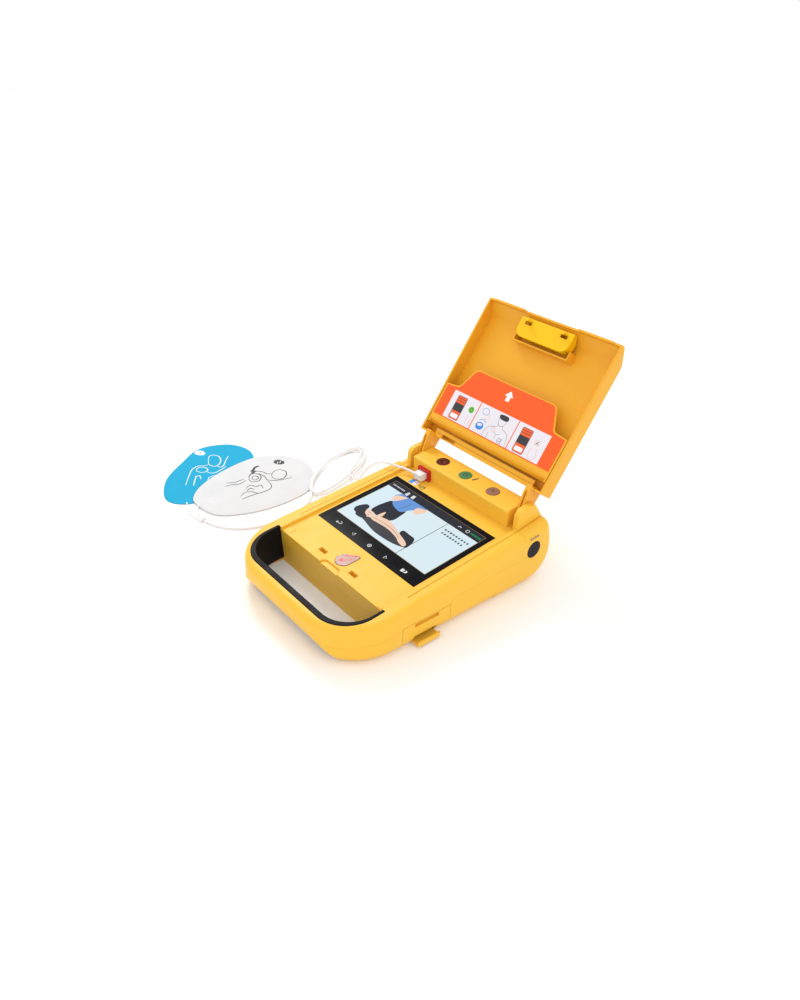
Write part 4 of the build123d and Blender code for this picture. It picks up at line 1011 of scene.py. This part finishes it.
class DEFIB_OT_label(bpy.types.Operator):
    """The orange tray label with its white panels, arrow and small drawings"""

    bl_idname = "defib.label"
    bl_label = "Tray label"

    def device(self, p, u, v):
        """A small drawing of an upright unit: orange, with a black screen and a white foot."""
        p.shape(rounded(u - 8.0, v - 15.5, u + 8.0, v + 15.5, 2.0), "ink_grey", 2)
        p.shape(rounded(u - 7.3, v - 14.8, u + 7.3, v + 14.8, 1.6), "ink_orange", 3)
        p.shape([(u - 7.3, v - 5.5), (u + 7.3, v - 5.5), (u + 7.3, v + 4.5), (u - 7.3, v + 4.5)], "ink", 4)
        p.shape(rounded(u - 5.8, v + 8.0, u + 5.8, v + 13.4, 1.4), "ink_white", 4)
        p.stroke([(u - 6.8, v - 9.0), (u + 6.8, v - 9.0)], 0.6, "ink", 4, steps=0)
        p.stroke([(u - 6.8, v - 12.0), (u + 6.8, v - 12.0)], 0.6, "ink", 4, steps=0)

    def execute(self, context):
        assign("label", "tray_label")
        # The label faces out of the open lid, so its layers grow towards smaller heights.
        flip = LID @ Matrix.Translation((0, 0, LABEL_FACE)) @ Matrix.Scale(-1, 4, (0, 0, 1))
        p = Print(flip, 0.0)
        p.draw(LABEL_GROUND)
        self.device(p, -62.0, 94.6)
        self.device(p, 44.5, 94.6)
        p.draw(LABEL_MARKS)
        p.build("label_print", "lid")
        return {"FINISHED"}


class DEFIB_OT_keys(bpy.types.Operator):
    """Keys and their printed marks, the lens, the lamp and the deck's small stickers"""

    bl_idname = "defib.keys"
    bl_label = "Keys and marks"

    def execute(self, context):
        assign("shock_key", "shock_button")
        assign("green_key", "power_button")
        assign("pink_key", "mode_button")
        assign("bronze", "speaker_lens")
        assign("ink", "status_lamp")
        for name, body, height, rows in KEY_PRINTS:
            p = Print(DECK, height)
            p.draw(rows)
            p.build(name, body)
        return {"FINISHED"}


class DEFIB_OT_finishes(bpy.types.Operator):
    """Finishes of the casing, lid, battery, port, hinge and everything inside"""

    bl_idname = "defib.finishes"
    bl_label = "Finishes"

    def execute(self, context):
        assign("case", "lower_case", "upper_case", "deck_screw_caps", "battery_end_cap", "battery_latch")
        # The lid's parts get the lid colour, which holds painted shade.
        assign("lid", "lid_shell", "lid_tray", "latch_guide")
        assign("latch", "lid_latch")
        assign("grip", "grip_liner")
        assign("steel", "hinge_pin_left", "hinge_pin_right", "case_screws")
        assign("rubber", "case_seal", "foot_pads")
        assign("cap", "port_cap")
        assign("dark", "data_port", "battery_case", "display_panel", "speaker", "shock_switch", "console_switches",
               "charging_transformer")
        assign("socket", "pads_socket")
        assign("board", "main_board", "shock_board", "console_board")
        assign("can", "discharge_capacitor", "battery_cells")
        assign("gold", "battery_contacts", "bay_contacts")
        facing_right = Matrix(((0, 0, 1, 0), (1, 0, 0, 0), (0, 1, 0, 0), (0, 0, 0, 1)))
        side = Matrix.Translation((SIDE_FACE, 0.0, 0.0)) @ facing_right @ Matrix.Scale(MM, 4)
        marks("port_words", side, (110.5, 63.2, 0.03), 4, (3.6, 0.35, 0), (2.4, 2.6, 0.1), 4, "ink_grey", "case")
        return {"FINISHED"}


class DEFIB_PT_panel(bpy.types.Panel):
    """Lists the pieces of the defibrillator"""

    bl_idname = "DEFIB_PT_panel"
    bl_label = "Defibrillator"
    bl_space_type = "VIEW_3D"
    bl_region_type = "UI"
    bl_category = "Defibrillator"

    def draw(self, context):
        layout = self.layout
        for group in (context.scene.defib_colours, context.scene.defib_sizes):
            for name in group.__annotations__:
                layout.prop(group, name)
        for operator in OPERATORS:
            layout.operator(operator.bl_idname)


OPERATORS = (
    DEFIB_OT_stage, DEFIB_OT_lead, DEFIB_OT_pads, DEFIB_OT_display, DEFIB_OT_label, DEFIB_OT_keys, DEFIB_OT_finishes,
)
CLASSES = (DEFIB_PG_colours, DEFIB_PG_sizes, *OPERATORS, DEFIB_PT_panel)


def register():
    for cls in CLASSES:
        bpy.utils.register_class(cls)
    bpy.types.Scene.defib_colours = bpy.props.PointerProperty(type=DEFIB_PG_colours)
    bpy.types.Scene.defib_sizes = bpy.props.PointerProperty(type=DEFIB_PG_sizes)


def unregister():
    del bpy.types.Scene.defib_sizes
    del bpy.types.Scene.defib_colours
    for cls in reversed(CLASSES):
        bpy.utils.unregister_class(cls)


def main():
    register()
    make_materials()
    bpy.ops.defib.stage()
    bpy.ops.defib.lead()
    bpy.ops.defib.pads()
    bpy.ops.defib.display()
    bpy.ops.defib.label()
    bpy.ops.defib.keys()
    bpy.ops.defib.finishes()


if __name__ == "__main__":
    main()
